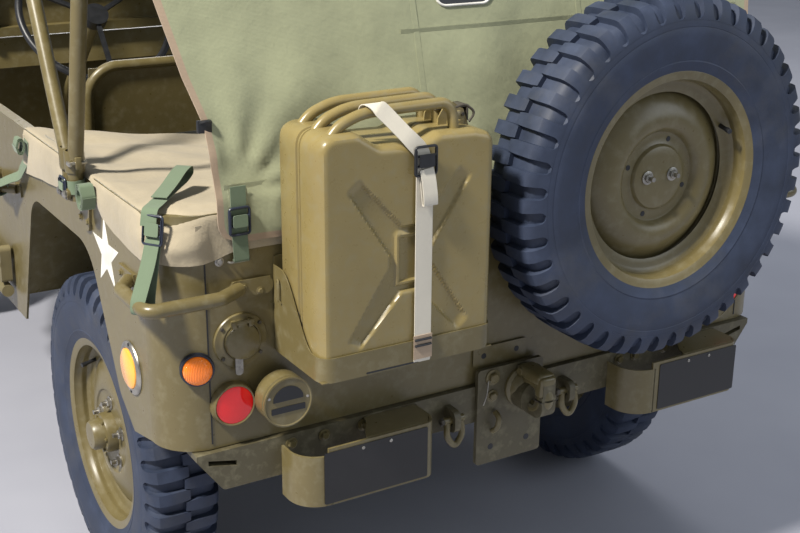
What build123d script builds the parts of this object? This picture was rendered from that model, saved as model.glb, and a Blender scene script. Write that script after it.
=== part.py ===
"""Open quarter ton 4x4 army car with its canvas top up.

Millimetres. Forward is -Y, left is +X, up is +Z. The origin lies on the ground
below the middle of the overall box. Each node is written to parts/NODE.step.
"""
import math
import os

from build123d import *

os.makedirs("parts", exist_ok=True)

# Running gear
WHEELBASE = 2032.0
TRACK = 1245.0
TYRE_R = 362.0
TYRE_W = 159.0
LUGS = 30
FRONT_Y = -1143.5
REAR_Y = FRONT_Y + WHEELBASE
WHEEL_X = TRACK / 2
KING_X = 545.0
KING_PIN_R = 10.0
BALL_R = 50.0
PLATE_X = 612.0
DRUM_R = 118.0
DRUM_IN = 618.0
DRUM_OUT = 656.0
HUB_R = 46.0
SPINDLE_R = 20.0
SPINDLE_END = 690.0
ARM_BACK = 150.0
ARM_PIN_R = 7.0
AXLE_R = 34.0
DIFF_X = -165.0
DIFF_R = 138.0
NOSE_REACH = 190.0
RUN_GAP = 0.05
MOVE_GAP = 6.0
SEAT_GAP = 0.3

# Chassis
FRAME_TOP = 572.0
RAIL_H = 96.0
RAIL_W = 50.0
RAIL_X = 346.0
FRAME_FRONT = -1603.5
HORN_ROD_Y = FRAME_FRONT + 103.5
BUMPER_DEPTH = 60.0
BUMPER_H = 104.0
BUMPER_HALF = 655.0
RADIATOR_BEAM_Y = (-1375.0, -1305.0)
RADIATOR_BEAM_TOP = 528.0
GEARBOX_SEAT = 492.0

# Body
SKIN = 5.0
BODY_HALF = 737.0
BODY_TOP = 1020.0
SILL_Z = 520.0
QUARTER_Z = 552.0
PANEL_Y = 1470.0
PANEL_Z = 574.0
CORNER_R = 85.0
COWL_FRONT = -455.0
COWL_REAR = -315.0
COWL_TOP = 1070.0
SHOULDER_R = 110.0
FLOOR_Z = 600.0
DOOR_Z = 690.0
ARCH_TOP = 868.0
WELL_IN = 520.0
RAIL_LIP = 24.0

# Front end
GRILLE_Y = -1393.5
GRILLE_HALF = 438.0
GRILLE_TOP = 990.0
GRILLE_BOTTOM = 600.0
GRILLE_DEPTH = 42.0
LAMP_X = 318.0
LAMP_Z = 838.0
LAMP_R = 84.0
SLOTS = 9
SLOT_W = 31.0
SLOT_PITCH = 47.0
FENDER_TOP = 838.0
FENDER_IN = 400.0
FENDER_FRONT = -1513.5
HOOD_REAR_HALF = BODY_HALF - 201.0
HOOD_SKIN = 4.0

# Windscreen and top
SCREEN_HALF = BODY_HALF - 165.0
SCREEN_Y = -300.0
SCREEN_Z = COWL_TOP + 8
SCREEN_H = 664.0
SCREEN_LEAN = 8.0
BOW_X = BODY_HALF + 22.0
BOW_R = 15.0
BOW_Y = 1085.0
BOW_Z = 985.0
FRONT_BOW = (645.0, 1753.0)
REAR_BOW = (1283.0, 1738.0)
CLOTH = 3.0

# Back of the body
SPARE_X = -256.0
SPARE_Z = 1000.0
SPARE_Y = 1663.5 - TYRE_W / 2
CAN_X = 346.0
CAN_Z = 748.0
CAN_W = 345.0
CAN_T = 165.0
CAN_H = 470.0
CAN_BACK = PANEL_Y + 18
HITCH_X = 0.0
HITCH_Z = 535.0
HOOK_X = HITCH_X - 30.0
HOOK_Z = HITCH_Z + 40.0

# Steering
WHEEL_C = (330.0, -60.0, 1152.0)
WHEEL_RING = 208.0
COLUMN_TILT = 40.0


def block(x, y, z):
    """Box between two ends on each axis."""
    centre = Pos((x[0] + x[1]) / 2, (y[0] + y[1]) / 2, (z[0] + z[1]) / 2)
    return centre * Box(abs(x[1] - x[0]), abs(y[1] - y[0]), abs(z[1] - z[0]))


def rod(start, end, radius):
    """Round bar between two points."""
    run = Vector(*end) - Vector(*start)
    return Plane(origin=start, z_dir=run) * Pos(0, 0, run.length / 2) * Cylinder(radius, run.length)


def bent_tube(points, radius, bend):
    """Round bar along straight runs joined by tangent arcs."""
    path = FilletPolyline(*points, radius=bend)
    start = Plane(origin=path @ 0, z_dir=path % 0)
    return sweep(start * Circle(radius), path=path)


def outline(corners):
    """Closed face from corners (u, v, radius) or (u, v)."""
    edges = []
    ends = []
    for index, corner in enumerate(corners):
        here = Vector(corner[0], corner[1])
        before = Vector(*corners[index - 1][:2])
        after = Vector(*corners[(index + 1) % len(corners)][:2])
        back = (before - here).normalized()
        ahead = (after - here).normalized()
        if len(corner) == 2:
            ends.append((here, here))
            continue
        half = math.radians(back.get_angle(ahead)) / 2
        cut = corner[2] / math.tan(half)
        middle = here + (back + ahead).normalized() * (corner[2] / math.sin(half) - corner[2])
        edges.append(ThreePointArc(here + back * cut, middle, here + ahead * cut))
        ends.append((here + back * cut, here + ahead * cut))
    for index, pair in enumerate(ends):
        target = ends[(index + 1) % len(ends)][0]
        if (target - pair[1]).length > 0.01:
            edges.append(Line(pair[1], target))
    return make_face(edges)


def across(corners, x0, x1):
    """Side profile of corners (y, z) carried from x0 to x1."""
    face = Plane(origin=(x0, 0, 0), x_dir=(0, 1, 0), z_dir=(1, 0, 0)) * outline(corners)
    return extrude(face, amount=abs(x1 - x0), dir=(math.copysign(1, x1 - x0), 0, 0))


def along(corners, y0, y1):
    """Front profile of corners (x, z) carried from y0 to y1."""
    face = Plane(origin=(0, y0, 0), x_dir=(1, 0, 0), z_dir=(0, -1, 0)) * outline(corners)
    return extrude(face, amount=abs(y1 - y0), dir=(0, math.copysign(1, y1 - y0), 0))


def upward(corners, z0, z1):
    """Plan profile of corners (x, y) carried from z0 to z1."""
    return extrude(Pos(0, 0, z0) * outline(corners), amount=z1 - z0, dir=(0, 0, 1))


def left_right(solid):
    """A solid and its mirror image across the middle plane."""
    return [solid, mirror(solid, about=Plane.YZ)]


def save(name, solids):
    """Write one node, whose solids don't touch one another."""
    pieces = []
    for item in solids:
        pieces.extend(item.solids())
    export_step(Compound(label=name, children=pieces), f"parts/{name}.step")
    print(name, len(pieces), round(sum(p.volume for p in pieces) / 1000), "cm3")


# Chassis frame, bumpers and towing gear
rail_low = FRAME_TOP - RAIL_H
cross_rear = PANEL_Y + 12
rails = []
for side in (1, -1):
    rail = across(
        [(FRAME_FRONT, rail_low + 18), (FRAME_FRONT, FRAME_TOP), (cross_rear - 60, FRAME_TOP),
         (cross_rear - 60, rail_low + 12), (1300, rail_low), (HORN_ROD_Y + 70, rail_low)],
        side * (RAIL_X - RAIL_W / 2), side * (RAIL_X + RAIL_W / 2))
    rails.append(rail)
inner = RAIL_X - RAIL_W / 2
crossmembers = [
    rod((-inner, HORN_ROD_Y, 525), (inner, HORN_ROD_Y, 525), 30),
    block((-inner, inner), RADIATOR_BEAM_Y, (480, RADIATOR_BEAM_TOP)),
    block((-inner, inner), (-150, -80), (rail_low, GEARBOX_SEAT)),
    block((-inner, inner), (330, 400), (484, 540)),
]
rear_beam = along(
    [(-690, 560), (-640, 492, 12), (640, 492, 12), (690, 560), (690, FRAME_TOP), (-690, FRAME_TOP)],
    cross_rear - 60, cross_rear)
rear_beam -= along([(-600, 502), (600, 502), (600, 562), (-600, 562)], cross_rear - 70, cross_rear - 5)
for side in (1, -1):
    slot = along([(side * 612, 536), (side * 668, 548), (side * 668, 558), (side * 612, 546)],
                 cross_rear - 30, cross_rear + 5)
    rear_beam -= slot
frame = rails[0] + rails[1]
for member in crossmembers:
    frame += member
frame += rear_beam

bumper_z = FRAME_TOP - RAIL_H / 2
bumper = block((-BUMPER_HALF, BUMPER_HALF), (FRAME_FRONT - BUMPER_DEPTH, FRAME_FRONT),
               (bumper_z - BUMPER_H / 2, bumper_z + BUMPER_H / 2))
bumper -= block((-BUMPER_HALF - 1, BUMPER_HALF + 1),
                (FRAME_FRONT - BUMPER_DEPTH + 6, FRAME_FRONT + 1),
                (bumper_z - BUMPER_H / 2 + 6, bumper_z + BUMPER_H / 2 - 6))
for side in (1, -1):
    pad = block((side * RAIL_X - 34, side * RAIL_X + 34), (FRAME_FRONT - BUMPER_DEPTH + 6, FRAME_FRONT),
                (bumper_z - BUMPER_H / 2 + 6, bumper_z + BUMPER_H / 2 - 6))
    bumper += pad
save("front_bumper", [bumper])

# Each bumperette is a curved channel on top and bottom gussets
BUMPERETTE_X = 404.0
BUMPERETTE_HALF = 150.0
BUMPERETTE_H = 118.0
BUMPERETTE_Z = 509.0
BUMPERETTE_Y = cross_rear + 84
plan = [(BUMPERETTE_HALF - 52, 0, 40), (BUMPERETTE_HALF, -62), (BUMPERETTE_HALF - 5, -66),
        (BUMPERETTE_HALF - 54, -7, 34), (-BUMPERETTE_HALF + 54, -7, 34),
        (-BUMPERETTE_HALF + 5, -66), (-BUMPERETTE_HALF, -62), (-BUMPERETTE_HALF + 52, 0, 40)]
bumperettes = []
for side in (1, -1):
    centre = side * BUMPERETTE_X
    face = upward([(centre + p[0], BUMPERETTE_Y + p[1]) + p[2:] for p in plan],
                  BUMPERETTE_Z - BUMPERETTE_H / 2, BUMPERETTE_Z + BUMPERETTE_H / 2)
    for level in (BUMPERETTE_Z - BUMPERETTE_H / 2 + 12, BUMPERETTE_Z + BUMPERETTE_H / 2 - 18):
        face += upward([(centre - 86, cross_rear), (centre + 86, cross_rear),
                        (centre + BUMPERETTE_HALF - 60, BUMPERETTE_Y - 6),
                        (centre - BUMPERETTE_HALF + 60, BUMPERETTE_Y - 6)], level, level + 6)
    bumperettes.append(face)
save("rear_bumperettes", bumperettes)

# Pintle hook on its bolted plate, with the hinged upper jaw shut over it
hitch_face = cross_rear + 10
hook = along([(HITCH_X - 82, HITCH_Z - 140, 8), (HITCH_X + 82, HITCH_Z - 140, 8),
              (HITCH_X + 82, HITCH_Z + 75, 8), (HITCH_X - 82, HITCH_Z + 75, 8)], cross_rear, hitch_face)
HITCH_HOLE_R = 6.0
HITCH_HOLES = (46.0, 58.0, -45.0)
for side in (1, -1):
    for end in (1, -1):
        u = HITCH_X + side * HITCH_HOLES[0]
        w = HITCH_Z + HITCH_HOLES[2] + end * HITCH_HOLES[1]
        hook -= rod((u, cross_rear - 1, w), (u, hitch_face + 1, w), HITCH_HOLE_R)
jaw_y = hitch_face + 92
hook += rod((HOOK_X, hitch_face, HOOK_Z - 30), (HOOK_X, hitch_face + 46, HOOK_Z - 30), 36)
hook += across([(hitch_face + 40, HOOK_Z - 62), (jaw_y, HOOK_Z - 62, 26), (jaw_y, HOOK_Z - 10),
                (jaw_y - 26, HOOK_Z - 10), (jaw_y - 26, HOOK_Z - 38, 10), (hitch_face + 40, HOOK_Z - 38)],
               HOOK_X - 17, HOOK_X + 17)
jaw_low = HOOK_Z - 10 + SEAT_GAP
jaw = across([(hitch_face + SEAT_GAP, HOOK_Z + 8), (hitch_face + SEAT_GAP, HOOK_Z + 30, 6),
              (jaw_y, HOOK_Z + 30, 20), (jaw_y, jaw_low), (jaw_y - 24, jaw_low),
              (jaw_y - 24, HOOK_Z + 8, 6)],
             HOOK_X - 15, HOOK_X + 15)
save("pintle_hook", [hook, jaw])

eye_out = cross_rear + 42
for x in (150.0, -140.0):
    lug = across([(cross_rear, 500), (eye_out, 500, 16), (eye_out, 548, 16), (cross_rear, 548)], x - 7, x + 7)
    lug -= rod((x - 9, cross_rear + 24, 524), (x + 9, cross_rear + 24, 524), 10)
    frame += lug

# Axles, springs and steering knuckles
axle_top = TYRE_R + AXLE_R


def axle_casing(y, half, nose):
    """Tube along X with the differential housing and its nose towards the gearbox."""
    casing = rod((-half, y, TYRE_R), (half, y, TYRE_R), AXLE_R)
    bowl = Pos(DIFF_X, y, TYRE_R) * Sphere(DIFF_R)
    bowl &= block((DIFF_X - 100, DIFF_X + 100), (y - DIFF_R, y + DIFF_R), (TYRE_R - DIFF_R, TYRE_R + DIFF_R))
    casing += bowl
    casing += rod((DIFF_X, y, TYRE_R), (DIFF_X, y + nose * NOSE_REACH, TYRE_R), 52)
    return casing


front_axle = axle_casing(FRONT_Y, KING_X - 30, 1)
ball_flat = BALL_R * 0.76
for side in (1, -1):
    x = side * KING_X
    ball = Pos(x, FRONT_Y, TYRE_R) * Sphere(BALL_R)
    ball &= block((x - BALL_R, x + BALL_R), (FRONT_Y - BALL_R, FRONT_Y + BALL_R),
                  (TYRE_R - ball_flat, TYRE_R + ball_flat))
    front_axle += ball
for side in (1, -1):
    for end in (1, -1):
        front_axle -= rod((side * KING_X, FRONT_Y, TYRE_R + end * 12),
                          (side * KING_X, FRONT_Y, TYRE_R + end * (BALL_R + 1)), KING_PIN_R + RUN_GAP)
save("front_axle", [front_axle])

rear_axle = axle_casing(REAR_Y, KING_X, -1)
for side in (1, -1):
    rear_axle += rod((side * (KING_X - 6), REAR_Y, TYRE_R), (side * PLATE_X, REAR_Y, TYRE_R), AXLE_R + 10)
    rear_axle += rod((side * (PLATE_X - 4), REAR_Y, TYRE_R), (side * PLATE_X, REAR_Y, TYRE_R), DRUM_R)
    rear_axle += rod((side * PLATE_X, REAR_Y, TYRE_R), (side * SPINDLE_END, REAR_Y, TYRE_R), SPINDLE_R)
save("rear_axle", [rear_axle])

# Leaf springs on the axles, each eye between two cheeks under a rail
LEAF = 7.0
SPRING_W = 44.0
SPRING_RISE = 14.0
pack_top = axle_top + 36
eye_z = pack_top + SPRING_RISE - LEAF / 2
springs = []
# Rows are axle place, front eye reach, rear eye reach
for axle_y, reach_front, reach_rear in ((FRONT_Y, -400, 430), (REAR_Y, -470, 470)):
    for side in (1, -1):
        x0 = side * RAIL_X - SPRING_W / 2
        x1 = side * RAIL_X + SPRING_W / 2
        seat = block((x0 - 4, x1 + 4), (axle_y - 42, axle_y + 42), (TYRE_R + 20, pack_top - 5 * LEAF))
        seat -= rod((x0 - 9, axle_y, TYRE_R), (x1 + 9, axle_y, TYRE_R), AXLE_R + SEAT_GAP)
        pack = seat
        for number, share in enumerate((1.0, 0.8, 0.62, 0.45, 0.28)):
            z = pack_top - number * LEAF
            rise = SPRING_RISE * share
            far = axle_y + reach_rear * share
            near = axle_y + reach_front * share
            pack += across([(near, z + rise), (near, z + rise - LEAF), (axle_y - 60, z - LEAF),
                            (axle_y + 60, z - LEAF), (far, z + rise - LEAF), (far, z + rise),
                            (axle_y + 60, z), (axle_y - 60, z)], x0, x1)
        for y in (axle_y + reach_front, axle_y + reach_rear):
            pack += rod((x0, y, eye_z), (x1, y, eye_z), 16)
            for x in (x0 - 7, x1 + SEAT_GAP):
                frame += across([(y - 26, rail_low + 16), (y + 26, rail_low + 16), (y + 18, eye_z - 18, 12),
                                 (y - 18, eye_z - 18, 12)], x, x + 7 - SEAT_GAP)
        springs.append(pack)
save("leaf_springs", springs)
save("chassis_frame", [frame])

# Knuckle: half bowl round the axle ball, king pins, brake plate, spindle and steering arm
bowl_in = BALL_R + MOVE_GAP
bowl_out = bowl_in + 10
ear_low = ball_flat + MOVE_GAP
ear_top = ear_low + 18
arm_z = TYRE_R - ear_top
for name, side in (("knuckle_left", 1), ("knuckle_right", -1)):
    x = side * KING_X
    hollow = Pos(x, FRONT_Y, TYRE_R) * Sphere(bowl_in)
    knuckle = Pos(x, FRONT_Y, TYRE_R) * Sphere(bowl_out)
    knuckle &= block((x + side * 14, x + side * 90), (FRONT_Y - 90, FRONT_Y + 90),
                     (TYRE_R - ear_top, TYRE_R + ear_top))
    for end in (1, -1):
        z0 = TYRE_R + end * ear_low
        z1 = TYRE_R + end * ear_top
        knuckle += upward([(x - side * 24, FRONT_Y - 26, 18), (x + side * 40, FRONT_Y - 30),
                           (x + side * 40, FRONT_Y + 30), (x - side * 24, FRONT_Y + 26, 18)],
                          min(z0, z1), max(z0, z1))
    knuckle -= hollow
    for end in (1, -1):
        knuckle += rod((x, FRONT_Y, TYRE_R + end * 16), (x, FRONT_Y, TYRE_R + end * ear_top), KING_PIN_R)
    knuckle += rod((x + side * (bowl_in + 2), FRONT_Y, TYRE_R), (side * PLATE_X, FRONT_Y, TYRE_R), 40)
    knuckle += rod((side * (PLATE_X - 4), FRONT_Y, TYRE_R), (side * PLATE_X, FRONT_Y, TYRE_R), DRUM_R)
    knuckle += rod((side * PLATE_X, FRONT_Y, TYRE_R), (side * SPINDLE_END, FRONT_Y, TYRE_R), SPINDLE_R)
    knuckle += upward([(x - 14, FRONT_Y), (x + 14, FRONT_Y), (x + 14, FRONT_Y + ARM_BACK + 14, 13),
                       (x - 14, FRONT_Y + ARM_BACK + 14, 13)], arm_z, arm_z + 14)
    pin_y = FRONT_Y + ARM_BACK
    knuckle += rod((x, pin_y, arm_z + 1), (x, pin_y, arm_z - 30), ARM_PIN_R)
    save(name, [knuckle])

# Tie rod whose eyes hang on the pins of both steering arms
tie_y = FRONT_Y + ARM_BACK
tie_z = arm_z - 15
tie = rod((-KING_X + 14, tie_y, tie_z), (KING_X - 14, tie_y, tie_z), 10)
for side in (1, -1):
    tie += rod((side * KING_X, tie_y, tie_z - 12), (side * KING_X, tie_y, tie_z + 12), 17)
for side in (1, -1):
    tie -= rod((side * KING_X, tie_y, tie_z - 13), (side * KING_X, tie_y, tie_z + 13), ARM_PIN_R + RUN_GAP)
save("tie_rod", [tie])

# Wheels: a lugged tyre, a rim with its pressed disc, and a drum with its hub
TREAD_HALF = 66.0
LUG_DEPTH = 12.0
BEAD_R = 203.5
RIM_SEAT_R = 203.0


def gear_ring(x0, x1, phase):
    """Row of lugs, each one as wide as the gap beside it."""
    points = []
    floor_r = TYRE_R - LUG_DEPTH
    for index in range(LUGS):
        for turn, radius in ((0.0, floor_r), (0.08, TYRE_R), (0.42, TYRE_R), (0.5, floor_r)):
            angle = math.tau * (index + turn + phase) / LUGS
            points.append((radius * math.cos(angle), radius * math.sin(angle)))
    face = Plane(origin=(x0, 0, 0), x_dir=(0, 1, 0), z_dir=(1, 0, 0)) * outline(points)
    return extrude(face, amount=x1 - x0, dir=(1, 0, 0))


def ring_face(x, radius):
    """Regular polygon across the axle with its corners on a radius."""
    return Plane(origin=(x, 0, 0), x_dir=(0, 1, 0), z_dir=(1, 0, 0)) * RegularPolygon(radius, LUGS)


def make_tyre():
    """Tyre round the X axis, centred on the middle plane."""
    floor_r = TYRE_R - LUG_DEPTH
    half = TYRE_W / 2
    body = gear_ring(0, TREAD_HALF, 0) + gear_ring(-TREAD_HALF, 0, 0.5)
    for side in (1, -1):
        rings = ((TREAD_HALF, floor_r - 2), (half, floor_r - 58), (half - 6, BEAD_R + 48), (56, BEAD_R + 14))
        for near, far in zip(rings, rings[1:]):
            body += loft([ring_face(side * near[0], near[1]), ring_face(side * far[0], far[1])], ruled=True)
    for side in (1, -1):
        body -= loft([ring_face(side * 56, BEAD_R + 14), ring_face(side * 80, BEAD_R + 60.6)], ruled=True)
    hole = ring_face(-TYRE_W, (RIM_SEAT_R + SEAT_GAP) / math.cos(math.pi / LUGS))
    return body - extrude(hole, amount=2 * TYRE_W, dir=(1, 0, 0))


DISC_IN = DRUM_OUT - WHEEL_X + SEAT_GAP
RIM_PROFILE = [
    (-66, 220), (-61, 220), (-57, RIM_SEAT_R), (-30, RIM_SEAT_R - 1), (-22, 188), (22, 188),
    (30, RIM_SEAT_R - 1), (57, RIM_SEAT_R), (61, 220), (66, 220), (66, 215), (62, 199), (34, 198), (26, 184), (23, 150), (40, 122),
    (40, HUB_R + 0.5), (DISC_IN, HUB_R + 0.5), (DISC_IN, 118), (18, 147), (18, 184), (-26, 184),
    (-34, 198), (-62, 199), (-66, 215)]
tyre = make_tyre()
rim = revolve(outline(RIM_PROFILE), axis=Axis.X)
drum_profile = [
    (DRUM_IN - WHEEL_X, DRUM_R - 6), (DRUM_IN - WHEEL_X, DRUM_R), (DRUM_OUT - WHEEL_X, DRUM_R),
    (DRUM_OUT - WHEEL_X, HUB_R), (SPINDLE_END - WHEEL_X + 16, HUB_R - 6), (SPINDLE_END - WHEEL_X + 22, 20),
    (SPINDLE_END - WHEEL_X + 22, 0), (SPINDLE_END - WHEEL_X + 1, 0),
    (SPINDLE_END - WHEEL_X + 1, SPINDLE_R + RUN_GAP), (DRUM_OUT - WHEEL_X - 24, SPINDLE_R + RUN_GAP),
    (DRUM_OUT - WHEEL_X - 24, HUB_R), (DRUM_OUT - WHEEL_X - 6, HUB_R), (DRUM_OUT - WHEEL_X - 6, DRUM_R - 6)]
drum = revolve(outline(drum_profile), axis=Axis.X)
for corner, side, y in (("front_left", 1, FRONT_Y), ("front_right", -1, FRONT_Y),
                        ("rear_left", 1, REAR_Y), ("rear_right", -1, REAR_Y)):
    place = Pos(side * WHEEL_X, y, TYRE_R) * Rot(0, 0, 0 if side > 0 else 180)
    save(f"tyre_{corner}", [place * tyre])
    save(f"wheel_{corner}", [place * rim, place * drum])
spare_place = Pos(SPARE_X, SPARE_Y, SPARE_Z) * Rot(0, 0, 90)
save("spare_tyre", [spare_place * tyre])
save("spare_wheel", [spare_place * rim])

# Body tub: floor, sides, rear panel, cowl and the boxes over the rear wheels
arch_front = REAR_Y - 372
arch_rear = REAR_Y + 397
ARCH = [(arch_front, SILL_Z), (arch_front + 157, ARCH_TOP, 90), (REAR_Y + 190, ARCH_TOP, 110),
        (REAR_Y + 325, 604, 60), (arch_rear, QUARTER_Z)]
side_in = BODY_HALF - SKIN
corner_x = BODY_HALF - CORNER_R
corner_y = PANEL_Y - CORNER_R
lip_in = BODY_HALF - RAIL_LIP
door_rear = 322.0
shoulder_z = COWL_TOP - SHOULDER_R


def corner_ring(outer, inner, z0, z1):
    """Quarter ring round the left rear corner of the body."""
    ring = Cylinder(outer, z1 - z0) - Cylinder(inner, z1 - z0 + 2)
    ring &= Pos(outer / 2, outer / 2, 0) * Box(outer, outer, z1 - z0)
    return Pos(corner_x, corner_y, (z0 + z1) / 2) * ring


side_panel = across(
    [(COWL_FRONT, SILL_Z), (COWL_FRONT, shoulder_z), (COWL_REAR, shoulder_z), (COWL_REAR + 30, DOOR_Z, 90),
     (door_rear - 66, DOOR_Z, 90), (door_rear, BODY_TOP, 10), (corner_y, BODY_TOP), (corner_y, PANEL_Z)]
    + ARCH[::-1], side_in, BODY_HALF)
side_panel += corner_ring(CORNER_R, CORNER_R - SKIN, PANEL_Z, BODY_TOP)
side_panel += corner_ring(CORNER_R, CORNER_R - RAIL_LIP, BODY_TOP - 6, BODY_TOP)
side_panel += block((lip_in, BODY_HALF), (door_rear + 4, corner_y), (BODY_TOP - 6, BODY_TOP))
side_panel += block((lip_in, BODY_HALF), (COWL_REAR + 128, door_rear - 168), (DOOR_Z - 6, DOOR_Z))
left_panel, right_panel = left_right(side_panel)
CLIP_Y = (-180.0, 250.0)
for y in CLIP_Y:
    left_panel += block((BODY_HALF, BODY_HALF + 6), (y - 18, y + 18), (545, 672))
save("body_side_left", [left_panel])
save("body_side_right", [right_panel])

rear_panel = block((-corner_x, corner_x), (PANEL_Y - SKIN, PANEL_Y), (PANEL_Z, BODY_TOP))
rear_panel += block((-corner_x, corner_x), (PANEL_Y - RAIL_LIP, PANEL_Y), (BODY_TOP - 6, BODY_TOP))
save("rear_panel", [rear_panel])

# The floor has a hump over the gearbox, a toe board and cross ribs that rest on the frame
HUMP_HALF = 112.0
HUMP_TOP = 690.0
HUMP_REAR = 150.0
floor_low = FLOOR_Z - SKIN
floor_front = COWL_FRONT + SKIN
well_front = arch_front + 34
well_rear = REAR_Y + 319
floor = block((-side_in, side_in), (floor_front, PANEL_Y - SKIN), (floor_low, FLOOR_Z))
for rib_y in (-250.0, 180.0, 460.0, 1330.0):
    floor += block((-side_in, side_in), (rib_y - 24, rib_y + 24), (FRAME_TOP, floor_low))
floor -= block((-HUMP_HALF, HUMP_HALF), (floor_front - 1, HUMP_REAR), (FRAME_TOP - 1, FLOOR_Z + 1))
hump_out = HUMP_HALF + SKIN
hump_under = HUMP_TOP - SKIN
hump = along([(-hump_out, floor_low), (-hump_out, HUMP_TOP, 50), (hump_out, HUMP_TOP, 50),
              (hump_out, floor_low)], floor_front, HUMP_REAR + SKIN)
hump -= along([(-HUMP_HALF, floor_low - 1), (-HUMP_HALF, hump_under, 45), (HUMP_HALF, hump_under, 45),
               (HUMP_HALF, floor_low - 1)], floor_front - 1, HUMP_REAR)
floor += hump
toe = across([(floor_front, FLOOR_Z + 130), (floor_front, FLOOR_Z + 123), (floor_front + 128, FLOOR_Z),
              (floor_front + 136, FLOOR_Z)], -side_in, side_in)
toe -= block((-HUMP_HALF, HUMP_HALF), (floor_front - 1, floor_front + 140), (FLOOR_Z - 1, HUMP_TOP - SKIN))
floor += toe
for side in (1, -1):
    floor -= block((side * WELL_IN, side * BODY_HALF), (well_front, well_rear), (FRAME_TOP - 1, FLOOR_Z + 1))
    floor -= block((side * 180, side * 260), (floor_front - 1, floor_front + 5), (FLOOR_Z + 20, FLOOR_Z + 60))
floor_rear = PANEL_Y - SKIN
floor &= upward([(-side_in, floor_front), (-side_in, floor_rear, CORNER_R - SKIN),
                 (side_in, floor_rear, CORNER_R - SKIN), (side_in, floor_front)], FRAME_TOP, HUMP_TOP + 50)
save("floor_pan", [floor])

arch_face = outline(ARCH)
to_side = Plane(origin=(0, 0, 0), x_dir=(0, 1, 0), z_dir=(1, 0, 0))
box_wide = side_in - WELL_IN
box_over = extrude(to_side * offset(arch_face, amount=SKIN + 1), amount=box_wide + SKIN, dir=(1, 0, 0))
box_under = extrude(to_side * offset(arch_face, amount=1), amount=box_wide + 2, dir=(1, 0, 0))
wheel_box = Pos(WELL_IN - SKIN, 0, 0) * box_over - Pos(WELL_IN, 0, 0) * box_under
wheel_box &= block((0, side_in), (0, corner_y), (FLOOR_Z, BODY_TOP))
save("wheel_boxes", left_right(wheel_box))

cowl = along([(-BODY_HALF, shoulder_z), (-BODY_HALF, COWL_TOP, SHOULDER_R), (BODY_HALF, COWL_TOP, SHOULDER_R),
              (BODY_HALF, shoulder_z)], COWL_FRONT, COWL_REAR)
cowl -= along([(-side_in, shoulder_z - 1), (-side_in, COWL_TOP - SKIN, SHOULDER_R - SKIN),
               (side_in, COWL_TOP - SKIN, SHOULDER_R - SKIN), (side_in, shoulder_z - 1)],
              COWL_FRONT + SKIN, COWL_REAR + 1)
cowl += block((-side_in, side_in), (COWL_FRONT, floor_front), (floor_low, shoulder_z + 1))
DASH_DROP = 88.0
dash = along([(-side_in, shoulder_z), (-side_in, COWL_TOP - SKIN, SHOULDER_R - SKIN),
              (side_in, COWL_TOP - SKIN, SHOULDER_R - SKIN), (side_in, shoulder_z)],
             COWL_REAR - SKIN, COWL_REAR)
dash &= block((-side_in, side_in), (COWL_REAR - SKIN, COWL_REAR), (COWL_TOP - DASH_DROP, COWL_TOP))
cowl += dash
cowl -= block((-hump_out, hump_out), (COWL_FRONT - 1, floor_front + 1), (floor_low - 1, HUMP_TOP))
tilt = math.radians(COLUMN_TILT)
column_run = (0, math.cos(tilt), math.sin(tilt))


def on_column(distance):
    """Point on the steering axis below the wheel's middle."""
    return tuple(c - distance * r for c, r in zip(WHEEL_C, column_run))


COLUMN_R = 19.0
COLUMN_END = 900.0
cowl -= rod(on_column(350), on_column(620), COLUMN_R + 1)

# Front fenders: flat top, rounded front corner, long slope down to the cowl
FENDER_T = 5.0
fender_low = FENDER_TOP - FENDER_T
slope_top = -800.0
slope_end = (-500.0, 590.0)
drop = [(slope_top, FENDER_TOP, 90), (slope_end[0], slope_end[1], 40), (COWL_FRONT, slope_end[1] - 12),
        (COWL_FRONT, slope_end[1] - 18), (slope_end[0] - 2, slope_end[1] - 6, 45),
        (slope_top - 3, fender_low, 85)]
fender = across([(FENDER_FRONT, fender_low), (FENDER_FRONT, FENDER_TOP)] + drop, FENDER_IN, BODY_HALF)
fender_start = GRILLE_HALF + SEAT_GAP
behind_grille = GRILLE_Y + GRILLE_DEPTH + 3
fender &= upward([(FENDER_IN, COWL_FRONT), (BODY_HALF, COWL_FRONT), (BODY_HALF, FENDER_FRONT, 150),
                  (fender_start, FENDER_FRONT, 40), (fender_start, behind_grille),
                  (FENDER_IN, behind_grille)], SILL_Z, FENDER_TOP + 1)
edge = upward([(fender_start, slope_top), (BODY_HALF, slope_top), (BODY_HALF, FENDER_FRONT, 150),
               (fender_start, FENDER_FRONT, 40)], FENDER_TOP - 34, FENDER_TOP - 1)
edge -= upward([(fender_start + FENDER_T, slope_top + 9), (BODY_HALF - FENDER_T, slope_top + 9),
                (BODY_HALF - FENDER_T, FENDER_FRONT + FENDER_T, 145),
                (fender_start + FENDER_T, FENDER_FRONT + FENDER_T, 35)], FENDER_TOP - 35, FENDER_TOP)
edge -= block((fender_start - 1, fender_start + FENDER_T + 1), (GRILLE_Y - 3, slope_top + 1),
              (FENDER_TOP - 35, FENDER_TOP))
fender += edge
apron = across([(behind_grille, FRAME_TOP, 20), (behind_grille, FENDER_TOP - 2), (slope_top, FENDER_TOP - 2),
                (slope_end[0], slope_end[1] + 2), (COWL_FRONT, slope_end[1] - 14), (COWL_FRONT, FRAME_TOP)],
               FENDER_IN, FENDER_IN + FENDER_T)
fender += apron
fender += block((FENDER_IN, BODY_HALF), (COWL_FRONT - FENDER_T, COWL_FRONT),
                (slope_end[1] - 14, FENDER_TOP - 60))
for name, solid in zip(("fender_left", "fender_right"), left_right(fender)):
    save(name, [solid])

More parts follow.
